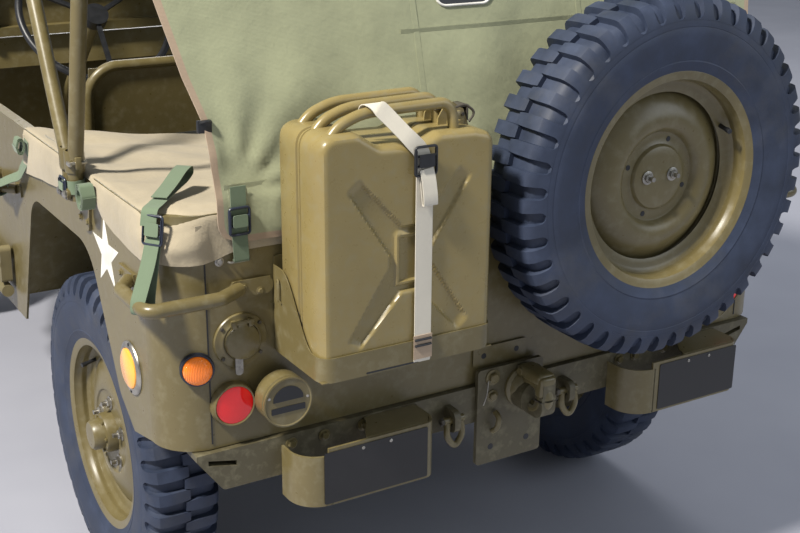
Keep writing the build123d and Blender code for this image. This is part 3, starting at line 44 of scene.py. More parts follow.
# Materials
class Shader:
    # Small helper that keeps node trees short to write
    def __init__(self, name):
        self.material = bpy.data.materials.new(name)
        self.material.use_nodes = True
        self.tree = self.material.node_tree
        self.surface = self.tree.nodes["Principled BSDF"]
        self.place = self.add("ShaderNodeTexCoord")

    def add(self, kind, **values):
        node = self.tree.nodes.new(kind)
        for key, value in values.items():
            setattr(node, key, value)
        return node

    def link(self, output, target):
        self.tree.links.new(output, target)

    def noise(self, scale, detail=4.0, roughness=0.6):
        node = self.add("ShaderNodeTexNoise")
        node.inputs["Scale"].default_value = scale
        node.inputs["Detail"].default_value = detail
        node.inputs["Roughness"].default_value = roughness
        self.link(self.place.outputs["Object"], node.inputs["Vector"])
        return node.outputs["Fac"]

    def ramp(self, fac, stops):
        node = self.add("ShaderNodeValToRGB")
        ramp = node.color_ramp
        while len(ramp.elements) < len(stops):
            ramp.elements.new(0.5)
        for element, (at, color) in zip(ramp.elements, stops):
            element.position = at
            element.color = (*color, 1.0)
        self.link(fac, node.inputs["Fac"])
        return node.outputs["Color"]

    def grey(self, fac, low, high, start=0.3, end=0.7):
        node = self.add("ShaderNodeMapRange")
        node.inputs["From Min"].default_value = start
        node.inputs["From Max"].default_value = end
        node.inputs["To Min"].default_value = low
        node.inputs["To Max"].default_value = high
        self.link(fac, node.inputs["Value"])
        return node.outputs["Result"]

    def mix(self, fac, a, b):
        node = self.add("ShaderNodeMix", data_type="RGBA")
        self.link(fac, node.inputs["Factor"])
        for socket, value in ((node.inputs[6], a), (node.inputs[7], b)):
            if hasattr(value, "default_value"):
                self.link(value, socket)
            else:
                socket.default_value = (*value, 1.0)
        return node.outputs[2]

    def bump(self, height, strength, distance):
        node = self.add("ShaderNodeBump")
        node.inputs["Strength"].default_value = strength
        node.inputs["Distance"].default_value = distance
        self.link(height, node.inputs["Height"])
        before = self.surface.inputs["Normal"]
        if before.is_linked:
            self.link(before.links[0].from_socket, node.inputs["Normal"])
        self.link(node.outputs["Normal"], before)

    def color(self, output):
        self.link(output, self.surface.inputs["Base Color"])

    def set(self, **values):
        for key, value in values.items():
            self.surface.inputs[key.replace("_", " ")].default_value = value


def shade(color, factor):
    return tuple(min(1.0, c * factor) for c in color)


def tones(color, rows):
    return [(at, shade(color, factor)) for at, factor in rows]


# Surface settings: noise as scale, detail and roughness; bumps as noise, strength and depth in metres
paintLook = {
    "olive": (0.136, 0.109, 0.045), "chassis": (0.085, 0.072, 0.037), "roughness": (0.27, 0.43),
    "broad": (3.2, 5), "fine": (46, 4), "tones": [(0.3, 0.86), (0.52, 1), (0.72, 1.12)],
    "dust": (0.234, 0.2115, 0.135), "dustSpread": (0.5, 0.72), "coat": 0.12, "coatRoughness": 0.3,
    "bumps": [((420, 2), 0.12, 0.0004), ((9, 2), 0.1, 0.004)],
}
metalLook = {"spots": (34, 6), "tones": [(0.36, 0.55), (0.55, 1), (0.75, 1.25)],
             "bumps": [((160, 4), 0.25, 0.0008)]}
rubberLook = {
    # Blue in the ramp colours is painted sky reflection on the dark rubber
    "broad": (14, 6), "ramp": [(0.3, (0.014, 0.021, 0.042)), (0.55, (0.024, 0.035, 0.068)),
                               (0.8, (0.042, 0.058, 0.105))],
    "dustNoise": (5, 7, 0.7), "dust": (0.1, 0.095, 0.085), "dustSpread": (0, 0.35, 0.52, 0.75),
    "roughness": (0.5, 0.72), "bumps": [((300, 3), 0.22, 0.0006)],
}
clothLook = {
    "distortion": 0.6, "broad": (4.5, 6, 0.65), "at": (0.28, 0.52, 0.78), "threadShare": 0.35,
    "threadShade": 0.62, "roughness": 0.9, "sheen": 0.18, "weaveBump": (0.35, 0.0006),
    "crease": (26, 5, 0.55), "creaseBump": 0.4,
}
plainLook = {"tones": [(0.35, 0.85), (0.65, 1.12)], "spread": (0.85, 1.2)}
lensLook = {"tones": [(0.3, 0.85), (0.7, 1)], "roughness": 0.12, "coat": 0.6, "glow": 0.25,
            "ribBump": (0.6, 0.002)}
glassLook = {"tint": (0.9, 0.95, 0.93), "smear": (7, 4), "tones": [(0.3, 0.92), (0.7, 1)],
             "roughness": 0.04, "specular": 0.7}


def addBumps(look, rows):
    for noiseRow, strength, depth in rows:
        look.bump(look.noise(*noiseRow), strength, depth)


def paintedMetal(name, color, roughness, dust=0.35):
    look = Shader(name)
    fine = look.noise(*paintLook["fine"])
    base = look.ramp(look.noise(*paintLook["broad"]), tones(color, paintLook["tones"]))
    specks = look.grey(fine, 0.0, dust, *paintLook["dustSpread"])
    look.color(look.mix(specks, base, paintLook["dust"]))
    look.link(look.grey(fine, *roughness), look.surface.inputs["Roughness"])
    addBumps(look, paintLook["bumps"])
    look.set(IOR=1.5, Coat_Weight=paintLook["coat"], Coat_Roughness=paintLook["coatRoughness"])
    return look.material


def bareMetal(name, color, roughness, rust=0.5):
    look = Shader(name)
    spots = look.noise(*metalLook["spots"])
    look.color(look.ramp(spots, tones(color, metalLook["tones"])))
    look.link(look.grey(spots, *roughness), look.surface.inputs["Roughness"])
    addBumps(look, metalLook["bumps"])
    look.set(Metallic=1.0 - rust)
    return look.material


def rubber(name):
    look = Shader(name)
    broad = look.noise(*rubberLook["broad"])
    dust = look.grey(look.noise(*rubberLook["dustNoise"]), *rubberLook["dustSpread"])
    look.color(look.mix(dust, look.ramp(broad, rubberLook["ramp"]), rubberLook["dust"]))
    look.link(look.grey(broad, *rubberLook["roughness"]), look.surface.inputs["Roughness"])
    addBumps(look, rubberLook["bumps"])
    return look.material


def cloth(name, color, threads=900.0, creaseDepth=0.004, blotch=0.2):
    # Plain weave from two crossed wave patterns on the piece's own UV map, with soft blotches
    look = Shader(name)
    weave = look.add("ShaderNodeMath", operation="MULTIPLY")
    for index, axis in enumerate("XY"):
        bands = look.add("ShaderNodeTexWave", bands_direction=axis)
        bands.inputs["Scale"].default_value = threads / 6.28
        bands.inputs["Distortion"].default_value = clothLook["distortion"]
        look.link(look.place.outputs["UV"], bands.inputs["Vector"])
        look.link(bands.outputs["Fac"], weave.inputs[index])
    rows = list(zip(clothLook["at"], (1 - blotch, 1, 1 + blotch)))
    base = look.ramp(look.noise(*clothLook["broad"]), tones(color, rows))
    threadShare = look.grey(weave.outputs["Value"], 0.0, clothLook["threadShare"], 0.0, 1.0)
    look.color(look.mix(threadShare, base, shade(color, clothLook["threadShade"])))
    look.set(Roughness=clothLook["roughness"], Sheen_Weight=clothLook["sheen"], Sheen_Roughness=0.5)
    look.bump(weave.outputs["Value"], *clothLook["weaveBump"])
    look.bump(look.noise(*clothLook["crease"]), clothLook["creaseBump"], creaseDepth)
    return look.material


def plain(name, color, roughness, metallic=0.0, scale=60.0):
    look = Shader(name)
    grain = look.noise(scale, 3.0)
    low, high = plainLook["spread"]
    look.color(look.ramp(grain, tones(color, plainLook["tones"])))
    spread = look.grey(grain, roughness * low, min(1.0, roughness * high))
    look.link(spread, look.surface.inputs["Roughness"])
    look.set(Metallic=metallic)
    return look.material


def lensMaterial(name, color, ribs=None):
    look = Shader(name)
    look.color(look.ramp(look.noise(30.0), tones(color, lensLook["tones"])))
    look.set(Roughness=lensLook["roughness"], Coat_Weight=lensLook["coat"], Coat_Roughness=0.05,
             Emission_Strength=lensLook["glow"], Emission_Color=(*color, 1.0))
    if ribs:
        bands = look.add("ShaderNodeTexWave", bands_direction="X")
        bands.inputs["Scale"].default_value = ribs
        look.link(look.place.outputs["Object"], bands.inputs["Vector"])
        look.bump(bands.outputs["Fac"], *lensLook["ribBump"])
    return look.material


def glassMaterial(name, alpha=0.22):
    look = Shader(name)
    look.color(look.ramp(look.noise(*glassLook["smear"]), tones(glassLook["tint"], glassLook["tones"])))
    look.set(Roughness=glassLook["roughness"], Alpha=alpha, Specular_IOR_Level=glassLook["specular"])
    return look.material


mats = {
    "olive": paintedMetal("olivePaint", paintLook["olive"], paintLook["roughness"]),
    # The fuel can's own olive, lightened with painted sunlight that falls on its face
    "canPaintWithPaintedSun": paintedMetal("canPaintWithPaintedSun", (0.235, 0.182, 0.07), (0.24, 0.4)),
    "chassis": paintedMetal("chassisPaint", paintLook["chassis"], (0.5, 0.7), 0.5),
    "darkSteel": bareMetal("darkSteel", (0.1, 0.088, 0.07), (0.4, 0.65), 0.6),
    "brightSteel": bareMetal("brightSteel", (0.42, 0.4, 0.36), (0.25, 0.45), 0.1),
    "rubber": rubber("tyreRubberPaintedSkyTint"),
    "canvas": cloth("khakiCanvas", (0.3, 0.315, 0.195)),
    "cover": cloth("tanCover", (0.375, 0.32, 0.225), 800.0, 0.007, 0.2),
    "edging": cloth("pinkEdging", (0.36, 0.27, 0.19), 900.0, 0.002),
    "web": cloth("sageWeb", (0.13, 0.178, 0.112), 1400.0, 0.001, 0.12),
    "whiteWeb": cloth("paleWeb", (0.62, 0.58, 0.49), 1400.0, 0.001, 0.1),
    # Seat cloth darkened with painted shade of the roofed interior
    "seat": cloth("seatCanvasPaintedShade", (0.06, 0.055, 0.03), 900.0, 0.004),
    "black": plain("blackPlastic", (0.012, 0.013, 0.016), 0.42),
    "buckle": plain("blueBlackBuckle", (0.018, 0.024, 0.042), 0.35),
    "white": plain("whitePaint", (0.72, 0.71, 0.66), 0.6, scale=20.0),
    "plate": plain("blankPlate", (0.012, 0.012, 0.013), 0.38, scale=25.0),
    "redLens": lensMaterial("redLens", (0.62, 0.006, 0.008)),
    "orangeLens": lensMaterial("orangeLens", (0.85, 0.19, 0.01), 120.0),
    "amberLens": lensMaterial("amberLens", (0.95, 0.4, 0.05)),
    "chrome": plain("brightRing", (0.75, 0.75, 0.74), 0.16, 1.0),
    "lampGlass": glassMaterial("lampGlass", alpha=0.45),
    "glass": glassMaterial("screenGlass"),
    "engine": paintedMetal("enginePaint", (0.07, 0.075, 0.055), (0.5, 0.7)),
    "wood": plain("paintedWood", (0.15, 0.125, 0.06), 0.55, scale=18.0),
}
nodeMaterials = {
    "chassis": ["chassis_frame", "front_axle", "rear_axle", "leaf_springs", "knuckle_left",
                "knuckle_right", "tie_rod", "propeller_shafts", "pintle_hook"],
    "darkSteel": ["exhaust", "pedals_and_levers"],
    "rubber": [n for n in nodes if "tyre" in n],
    "glass": ["windscreen_glass"],
    "black": ["steering_wheel"],
    "engine": ["engine_and_gearbox", "radiator"],
    "wood": ["axe_and_shovel"],
    "canvas": ["canvas_roof", "rear_curtain"],
    "cover": ["cargo_cover"],
    "web": ["web_straps"],
    "seat": ["driver_cushions", "passenger_cushions"],
}
chosen = {node: key for key, names in nodeMaterials.items() for node in names}
for node, piece in nodes.items():
    piece.data.materials.clear()
    piece.data.materials.append(mats[chosen.get(node, "olive")])
print("materials set")

# Light, floor and camera
stageLook = {
    "floorHalf": 14, "floorTones": [(0.3, (0.33, 0.34, 0.4)), (0.7, (0.37, 0.38, 0.44))],
    "sky": (0.82, 0.88, 0.96), "skyStrength": 0.38,
    # Lights as name, place, aim, disk size, watts and colour
    "lights": [("keyLight", (4.8, 2.4, 6.4), (0, 0.8, 0.7), 0.8, 1050, (1.0, 0.95, 0.86)),
               ("fillLight", (-3.5, 5.0, 3.0), (0, 0.8, 0.7), 3.5, 60, (0.86, 0.93, 1.0)),
               ("frontLight", (-2.0, -5.5, 4.5), (0, -0.5, 0.6), 4.0, 220, (1, 1, 1))],
}
cameraLook = {"at": (1.427, 3.405, 1.644), "yaw": 0.544, "pitch": 0.334, "roll": 0.008,
              "focal": 1254 * 36 / 800, "sensor": 36.0, "clip": (0.05, 100.0)}


def addCamera():
    yaw, pitch, roll = cameraLook["yaw"], cameraLook["pitch"], cameraLook["roll"]
    ahead = Vector((-math.sin(yaw) * math.cos(pitch), -math.cos(yaw) * math.cos(pitch), -math.sin(pitch)))
    right = ahead.cross(Vector((0, 0, 1))).normalized()
    up = right.cross(ahead)
    turnedRight = math.cos(roll) * right + math.sin(roll) * up
    turnedUp = -math.sin(roll) * right + math.cos(roll) * up
    turn = Matrix((turnedRight, turnedUp, -ahead)).transposed()
    data = bpy.data.cameras.new("photoCamera")
    data.lens = cameraLook["focal"]
    data.sensor_width = cameraLook["sensor"]
    data.clip_start, data.clip_end = cameraLook["clip"]
    camera = bpy.data.objects.new("photoCamera", data)
    camera.matrix_world = Matrix.Translation(cameraLook["at"]) @ turn.to_4x4()
    bpy.context.scene.collection.objects.link(camera)
    bpy.context.scene.camera = camera


def addLight(name, place, aim, size, power, color):
    data = bpy.data.lights.new(name, "AREA")
    data.shape = "DISK"
    data.size = size
    data.energy = power
    data.color = color
    lamp = bpy.data.objects.new(name, data)
    lamp.location = place
    lamp.rotation_euler = (Vector(aim) - Vector(place)).to_track_quat("-Z", "Y").to_euler()
    bpy.context.scene.collection.objects.link(lamp)


def addStage():
    bm = bmesh.new()
    bmesh.ops.create_grid(bm, x_segments=1, y_segments=1, size=stageLook["floorHalf"])
    mesh = bpy.data.meshes.new("studioFloor")
    bm.to_mesh(mesh)
    bm.free()
    floor = bpy.data.objects.new("studioFloor", mesh)
    look = Shader("paleFloor")
    look.color(look.ramp(look.noise(1.5, 3.0), stageLook["floorTones"]))
    look.set(Roughness=0.85)
    mesh.materials.append(look.material)
    bpy.context.scene.collection.objects.link(floor)
    world = bpy.data.worlds.new("studioWorld")
    world.use_nodes = True
    sky = world.node_tree.nodes["Background"]
    sky.inputs["Color"].default_value = (*stageLook["sky"], 1.0)
    sky.inputs["Strength"].default_value = stageLook["skyStrength"]
    bpy.context.scene.world = world
    for row in stageLook["lights"]:
        addLight(*row)


addCamera()
addStage()
bpy.context.scene.view_settings.view_transform = "Standard"
print("camera and light set")

# Mesh helpers
xWay, yWay, zWay = (1, 0, 0), (0, 1, 0), (0, 0, 1)
boltLook = {
    # Rows are place along the axis and radius, as shares of the bolt's size
    "washer": [(0, 0), (0, 1.45), (0.2, 1.45), (0.25, 1.3), (0.25, 0)],
    "head": [(0, 0), (0, 1), (0.75, 1), (0.95, 0.8), (0.95, 0)],
    "screw": [(-0.3, 0), (-0.3, 1), (0.15, 1), (0.42, 0.72), (0.5, 0.3), (0.5, 0)],
}


def madeMesh(name, bm, materials, angle=35.0):
    bmesh.ops.recalc_face_normals(bm, faces=bm.faces)
    mesh = bpy.data.meshes.new(name)
    bm.to_mesh(mesh)
    bm.free()
    for key in materials:
        mesh.materials.append(mats[key])
    mesh.shade_smooth()
    mesh.set_sharp_from_angle(angle=math.radians(angle))
    piece = bpy.data.objects.new(name, mesh)
    bpy.context.scene.collection.objects.link(piece)
    return piece


def finished(name, bm, materials, body, replaced=(), angle=35.0):
    piece = madeMesh(name, bm, materials, angle)
    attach(piece, body)
    if replaced:
        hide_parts(*replaced)
    print(name, len(piece.data.polygons), "faces")
    return piece


def axes(direction):
    along = Vector(direction).normalized()
    first = along.orthogonal().normalized()
    return along, first, along.cross(first)


def joinRings(bm, rings, mat=0, caps=(False, False)):
    faces = []
    for low, high in zip(rings, rings[1:]):
        count = len(low)
        for i in range(count):
            j = (i + 1) % count
            faces.append(bm.faces.new((low[i], low[j], high[j], high[i])))
    for cap, ring in zip(caps, (rings[0], rings[-1])):
        if cap:
            faces.append(bm.faces.new(ring))
    for face in faces:
        face.material_index = mat
    return faces


def addLathe(bm, profile, center, direction, mat=0, segments=48):
    # Profile rows are place along the axis and radius; radius 0 closes the end with a point
    along, first, second = axes(direction)
    center = Vector(center)
    rings = []
    for place, radius in profile:
        if radius <= 1e-6:
            rings.append([bm.verts.new(center + along * place)])
            continue
        ring = []
        for i in range(segments):
            turn = math.tau * i / segments
            ring.append(bm.verts.new(center + along * place
                                     + radius * (math.cos(turn) * first + math.sin(turn) * second)))
        rings.append(ring)
    for low, high in zip(rings, rings[1:]):
        for i in range(segments):
            j = (i + 1) % segments
            corners = [low[i % len(low)], low[j % len(low)], high[j % len(high)], high[i % len(high)]]
            corners = [v for n, v in enumerate(corners) if v not in corners[:n]]
            if len(corners) > 2:
                bm.faces.new(corners).material_index = mat


def addRod(bm, start, end, radius, mat=0, segments=20, edge=0.0006):
    start, end = Vector(start), Vector(end)
    length = (end - start).length
    edge = min(edge, radius * 0.4, length * 0.3)
    profile = [(0, 0), (0, radius - edge), (edge, radius), (length - edge, radius),
               (length, radius - edge), (length, 0)]
    addLathe(bm, profile, start, end - start, mat, segments)


def scaled(rows, size):
    return [(a * size, r * size) for a, r in rows]


def addBolt(bm, at, direction, size=0.007, mat=0, washer=True):
    # Hexagon head with a chamfered top, on a round washer or without one
    at = Vector(at)
    along = Vector(direction).normalized()
    if washer:
        addLathe(bm, scaled(boltLook["washer"], size), at, along, mat, 20)
    addLathe(bm, scaled(boltLook["head"], size), at, along, mat, 6)


def addScrew(bm, at, direction, size=0.005, mat=0):
    addLathe(bm, scaled(boltLook["screw"], size), at, direction, mat, 16)


def addBox(bm, low, high, mat=0, edge=0.0, segments=2):
    low, high = Vector(low), Vector(high)
    made = bmesh.ops.create_cube(bm, size=1.0)
    size = high - low
    center = (low + high) / 2
    for vert in made["verts"]:
        vert.co = Vector((vert.co.x * size.x, vert.co.y * size.y, vert.co.z * size.z))
    faces = {face for vert in made["verts"] for face in vert.link_faces}
    if edge:
        edges = {e for face in faces for e in face.edges}
        grown = bmesh.ops.bevel(bm, geom=list(edges), offset=edge, segments=segments, profile=0.5,
                                affect="EDGES", clamp_overlap=True, material=-1)
        faces = set(grown["faces"]) | {f for f in faces if f.is_valid}
    verts = {vert for face in faces for vert in face.verts}
    for vert in verts:
        vert.co = center + vert.co
    for face in {f for vert in verts for f in vert.link_faces}:
        face.material_index = mat


def smoothPath(points, bend, steps=6):
    # Rounds each inner corner of a path with an arc-like curve
    points = [Vector(p) for p in points]
    out = [points[0]]
    for before, here, after in zip(points, points[1:], points[2:]):
        back, ahead = before - here, after - here
        reach = min(bend, back.length * 0.48, ahead.length * 0.48)
        start = here + back.normalized() * reach
        end = here + ahead.normalized() * reach
        for i in range(steps + 1):
            t = i / steps
            out.append((1 - t) ** 2 * start + 2 * t * (1 - t) * here + t ** 2 * end)
    out.append(points[-1])
    return out


def addTube(bm, points, radius, bend=0.02, mat=0, segments=14, steps=6, ends=True):
    path = smoothPath(points, bend, steps)
    ahead = (path[1] - path[0]).normalized()
    side = ahead.orthogonal().normalized()
    rings = []
    for i, point in enumerate(path):
        toward = (path[min(i + 1, len(path) - 1)] - path[max(i - 1, 0)]).normalized()
        side = (side - side.dot(toward) * toward).normalized()
        other = toward.cross(side)
        rings.append([bm.verts.new(point + radius * (math.cos(a) * side + math.sin(a) * other))
                      for a in (math.tau * n / segments for n in range(segments))])
    joinRings(bm, rings, mat, caps=(ends, ends))


def addPlate(bm, outline, origin, uDir, vDir, thickness, mat=0):
    # Outline rows are u and v in metres; the plate grows along u x v
    origin, uDir, vDir = Vector(origin), Vector(uDir), Vector(vDir)
    lift = uDir.cross(vDir).normalized() * thickness
    base = [bm.verts.new(origin + u * uDir + v * vDir) for u, v in outline]
    face = [bm.verts.new(vert.co + lift) for vert in base]
    joinRings(bm, [base, face], mat, caps=(True, True))


def arcPoints(cu, cv, radius, start, end, count=10):
    turns = [math.radians(start + (end - start) * i / count) for i in range(count + 1)]
    return [(cu + radius * math.cos(turn), cv + radius * math.sin(turn)) for turn in turns]


def roundedRect(u0, v0, u1, v1, radius, count=6):
    middles = ((u1 - radius, v1 - radius), (u0 + radius, v1 - radius), (u0 + radius, v0 + radius),
               (u1 - radius, v0 + radius))
    return [point for n, (u, v) in enumerate(middles)
            for point in arcPoints(u, v, radius, 90 * n, 90 * n + 90, count)]


def addStrip(bm, points, sideDir, width, thickness, bend=0.008, mat=0, steps=4):
    # Flat web along a path, with a UV map in metres; sideDir is the direction of its width
    path = smoothPath(points, bend, steps)
    uv = bm.loops.layers.uv.verify()
    side = Vector(sideDir).normalized()
    travelled = 0.0
    rings, marks = [], []
    for i, point in enumerate(path):
        ahead = (path[min(i + 1, len(path) - 1)] - path[max(i - 1, 0)]).normalized()
        across = (side - side.dot(ahead) * ahead).normalized()
        lift = ahead.cross(across).normalized() * thickness / 2
        if i:
            travelled += (point - path[i - 1]).length
        marks.append(travelled)
        w = across * width / 2
        corners = (point - w - lift, point + w - lift, point + w + lift, point - w + lift)
        rings.append([bm.verts.new(p) for p in corners])
    faces = joinRings(bm, rings, mat, caps=(True, True))
    place = {}
    for mark, ring in zip(marks, rings):
        for vert, u in zip(ring, (0, width, width, 0)):
            place[vert] = (u, mark)
    for face in faces:
        for loop in face.loops:
            loop[uv].uv = place[loop.vert]
    return travelled


def wave(point, scale, seed=0.0):
    x, y, z = point
    return fieldNoise.noise(Vector((x * scale + seed, y * scale - seed, z * scale + 2 * seed)))


# Tyres and rims; rows are in millimetres
tyreLook = {
    "lugs": 44, "segments": 176, "inside": [(30, 204.2), (-30, 204.2)],
    # Rows are across and radius, from the groove floor in the middle to the bead
    "carcass": [(0, 350), (20, 350), (42, 349.4), (54, 347), (62, 341.5), (67, 333), (70.5, 325),
                (72.5, 319.5), (78.6, 317.5), (79.4, 311), (79.5, 304), (78.9, 303), (79.5, 301),
                (79.2, 288), (78, 272), (76, 256), (73.6, 243), (72.6, 239), (73.4, 236.5),
                (71.8, 233), (69, 226), (66.4, 219), (63, 211), (58, 204.2)],
    # Rows are floor across and radius, top across and radius, share of the pitch at floor and at top
    "lug": [(-5, 349, -5, 360.5, 0.5, 0.42), (8, 349, 9, 361.8, 0.56, 0.48),
            (30, 348.6, 31, 362, 0.58, 0.5), (50, 346, 52, 361.2, 0.58, 0.5),
            (59, 341, 61.5, 358.6, 0.58, 0.5), (65, 334, 69, 351, 0.58, 0.5),
            (69, 326, 74, 341, 0.58, 0.5), (71.5, 320.5, 77.2, 330, 0.6, 0.52),
            (72, 318, 78.4, 323.5, 0.7, 0.62), (72.3, 316.5, 78.9, 319.2, 0.86, 0.8),
            (72.5, 315.5, 79.1, 317, 1.0, 0.98)],
}
wheelLook = {"halfTrack": 0.6225, "axleZ": 0.362, "frontY": -1.1435, "rearY": 0.8885,
             "spareAt": (-0.256, 1.584, 1.0)}
roadWheels = {"front_left": (1, wheelLook["frontY"]), "front_right": (-1, wheelLook["frontY"]),
              "rear_left": (1, wheelLook["rearY"]), "rear_right": (-1, wheelLook["rearY"])}
sparePlace = Matrix.Translation(wheelLook["spareAt"]) @ Matrix.Rotation(math.pi / 2, 4, "Z")


def wheelPlace(side, y):
    turn = 0 if side > 0 else math.pi
    spot = (side * wheelLook["halfTrack"], y, wheelLook["axleZ"])
    return Matrix.Translation(spot) @ Matrix.Rotation(turn, 4, "Z")


def roundAxle(place, across, radius, turn):
    # Point on a circle round the wheel's axle, from sizes in millimetres
    return place @ Vector((across / 1000, radius / 1000 * math.cos(turn), radius / 1000 * math.sin(turn)))


def addTurned(bm, rows, center, direction, mat=0, segments=48):
    # Lathe whose rows are in millimetres
    addLathe(bm, [(a / 1000, r / 1000) for a, r in rows], center, direction, mat, segments)


def addTyre(bm, place):
    half = tyreLook["carcass"]
    profile = [(-x, r) for x, r in half[:0:-1]] + half + tyreLook["inside"]
    count = tyreLook["segments"]
    rings = []
    for x, r in profile:
        rings.append([bm.verts.new(roundAxle(place, x, r, math.tau * i / count)) for i in range(count)])
    joinRings(bm, rings + [rings[0]])
    pitch = math.tau / tyreLook["lugs"]
    for side in (1, -1):
        for lug in range(tyreLook["lugs"]):
            middle = (lug + (0.5 if side < 0 else 0)) * pitch
            sections = []
            for lowX, lowR, topX, topR, low, top in tyreLook["lug"]:
                corners = ((lowX, lowR, -low), (topX, topR, -top), (topX, topR, top), (lowX, lowR, low))
                sections.append([bm.verts.new(roundAxle(place, side * x, r, middle + share * pitch / 2))
                                 for x, r, share in corners])
            joinRings(bm, sections, caps=(True, True))


for corner, (side, y) in roadWheels.items():
    bm = bmesh.new()
    addTyre(bm, wheelPlace(side, y))
    name = "tyre" + corner.title().replace("_", "")
    finished(name, bm, ["rubber"], corner + "_wheel", ("tyre_" + corner,), 28)
bm = bmesh.new()
addTyre(bm, sparePlace)
finished("spareTyreTread", bm, ["rubber"], "car", ("spare_tyre",), 28)

rimLook = {
    # Rows are place along the axle and radius, round the outside first and back inside
    "barrel": [(66, 217), (65.6, 219.4), (64, 220.4), (61.5, 219.6), (59, 214), (57, 205), (54, 203),
               (32, 202), (28, 199), (22, 189), (-22, 188), (-29, 201), (-56, 203), (-59, 214),
               (-62, 219.6), (-65, 220), (-66, 216), (-62, 201), (-34, 198), (-27, 184), (4, 183.6)],
    "disc": [(11, 182), (16, 176), (22, 166), (28.5, 152), (33, 138), (38.5, 124), (41.5, 112),
             (42.5, 103), (41.5, 97), (38.2, 93.5), (36.5, 85), (37.5, 75), (37.5, 46.5)],
    "spareDisc": [(2, 181), (4, 174), (12, 165), (23, 152), (31, 138), (35.6, 124), (35.2, 112),
                  (33, 103), (28, 96), (20, 92.5), (17, 90.5), (16, 87), (16.4, 70), (18.5, 66.5),
                  (22, 65), (25.5, 62.5), (27.6, 57), (28.4, 40), (28.8, 20), (28.8, 0)],
    "face": [(66, 217), (64.5, 212.5), (63, 204.5), (61, 200.6), (50, 199.4), (46, 196.5), (40, 196),
             (36, 197.2), (32, 196.6), (27, 192), (24.2, 186.5), (23.6, 178), (20, 170)],
    "hub": [(-4.5, 112), (-4.5, 118), (33.3, 118), (33.3, 46), (56, 45.5), (62, 43), (63.5, 36),
            (83, 34), (88.5, 30), (89.5, 0)],
    "drumInside": [(-4.5, 112), (27, 112), (27, 20.5)],
    "segments": 96, "hubSegments": 64,
    # Bolt circles: across, radius, count, first turn
    "wheelNuts": (37.5, 69.8, 5, 0.3), "hubBolts": (63.5, 38.5, 6, 0.0),
    "spareNuts": [(0.0287, 0.032, 0.004), (0.0287, -0.032, 0.004)],
    "spareHoleShades": (16.3, 78), "valve": (18, 182), "valveTurn": {True: 0.5, False: 2.4},
}


def addNut(bm, spot, outward, size, studLength, studRadius):
    addBolt(bm, spot, outward, size, 1)
    addRod(bm, spot, spot + outward * studLength, studRadius, 1, 12)


def boltCircle(place, row):
    across, radius, count, start = row
    return [roundAxle(place, across, radius, math.tau * n / count + start) for n in range(count)]


def addRim(bm, place, spare):
    center = place.translation
    outward = place.to_3x3() @ Vector(xWay)
    barrel = rimLook["barrel"] + rimLook["spareDisc" if spare else "disc"]
    addTurned(bm, barrel, center, outward, 0, rimLook["segments"])
    addTurned(bm, rimLook["face"], center, outward, 0, rimLook["segments"])
    if spare:
        for spot in rimLook["spareNuts"]:
            addNut(bm, place @ Vector(spot), outward, 0.0095, 0.02, 0.0048)
    else:
        addTurned(bm, rimLook["hub"], center, outward, 0, rimLook["hubSegments"])
        addTurned(bm, rimLook["drumInside"], center, outward, 0, rimLook["hubSegments"])
        for spot in boltCircle(place, rimLook["wheelNuts"]):
            addNut(bm, spot, outward, 0.0105, 0.021, 0.0055)
        for spot in boltCircle(place, rimLook["hubBolts"]):
            addBolt(bm, spot, outward, 0.0042, 0, False)
    # Valve stem and its cap
    turn = rimLook["valveTurn"][spare]
    spot = roundAxle(place, *rimLook["valve"], turn)
    stem = place.to_3x3() @ Vector((1.0, -0.25 * math.cos(turn), -0.25 * math.sin(turn))).normalized()
    addRod(bm, spot, spot + stem * 0.03, 0.0045, 2, 12)
    addRod(bm, spot + stem * 0.03, spot + stem * 0.042, 0.0055, 2, 12)


rimMaterials = ["olive", "brightSteel", "black"]
for corner, (side, y) in roadWheels.items():
    bm = bmesh.new()
    addRim(bm, wheelPlace(side, y), False)
    name = "rim" + corner.title().replace("_", "")
    finished(name, bm, rimMaterials, corner + "_wheel", ("wheel_" + corner,), 32)
bm = bmesh.new()
addRim(bm, sparePlace, True)
# Black discs in the four holes of the spare disc: painted shade seen through the holes
for turn in (-20, 70, 160, 250):
    spot = roundAxle(sparePlace, *rimLook["spareHoleShades"], math.radians(turn))
    addRod(bm, spot, spot + Vector((0, 0.0006, 0)), 0.0055, 2, 14)
finished("spareRim", bm, rimMaterials, "car", ("spare_wheel",), 32)
print("wheels done")

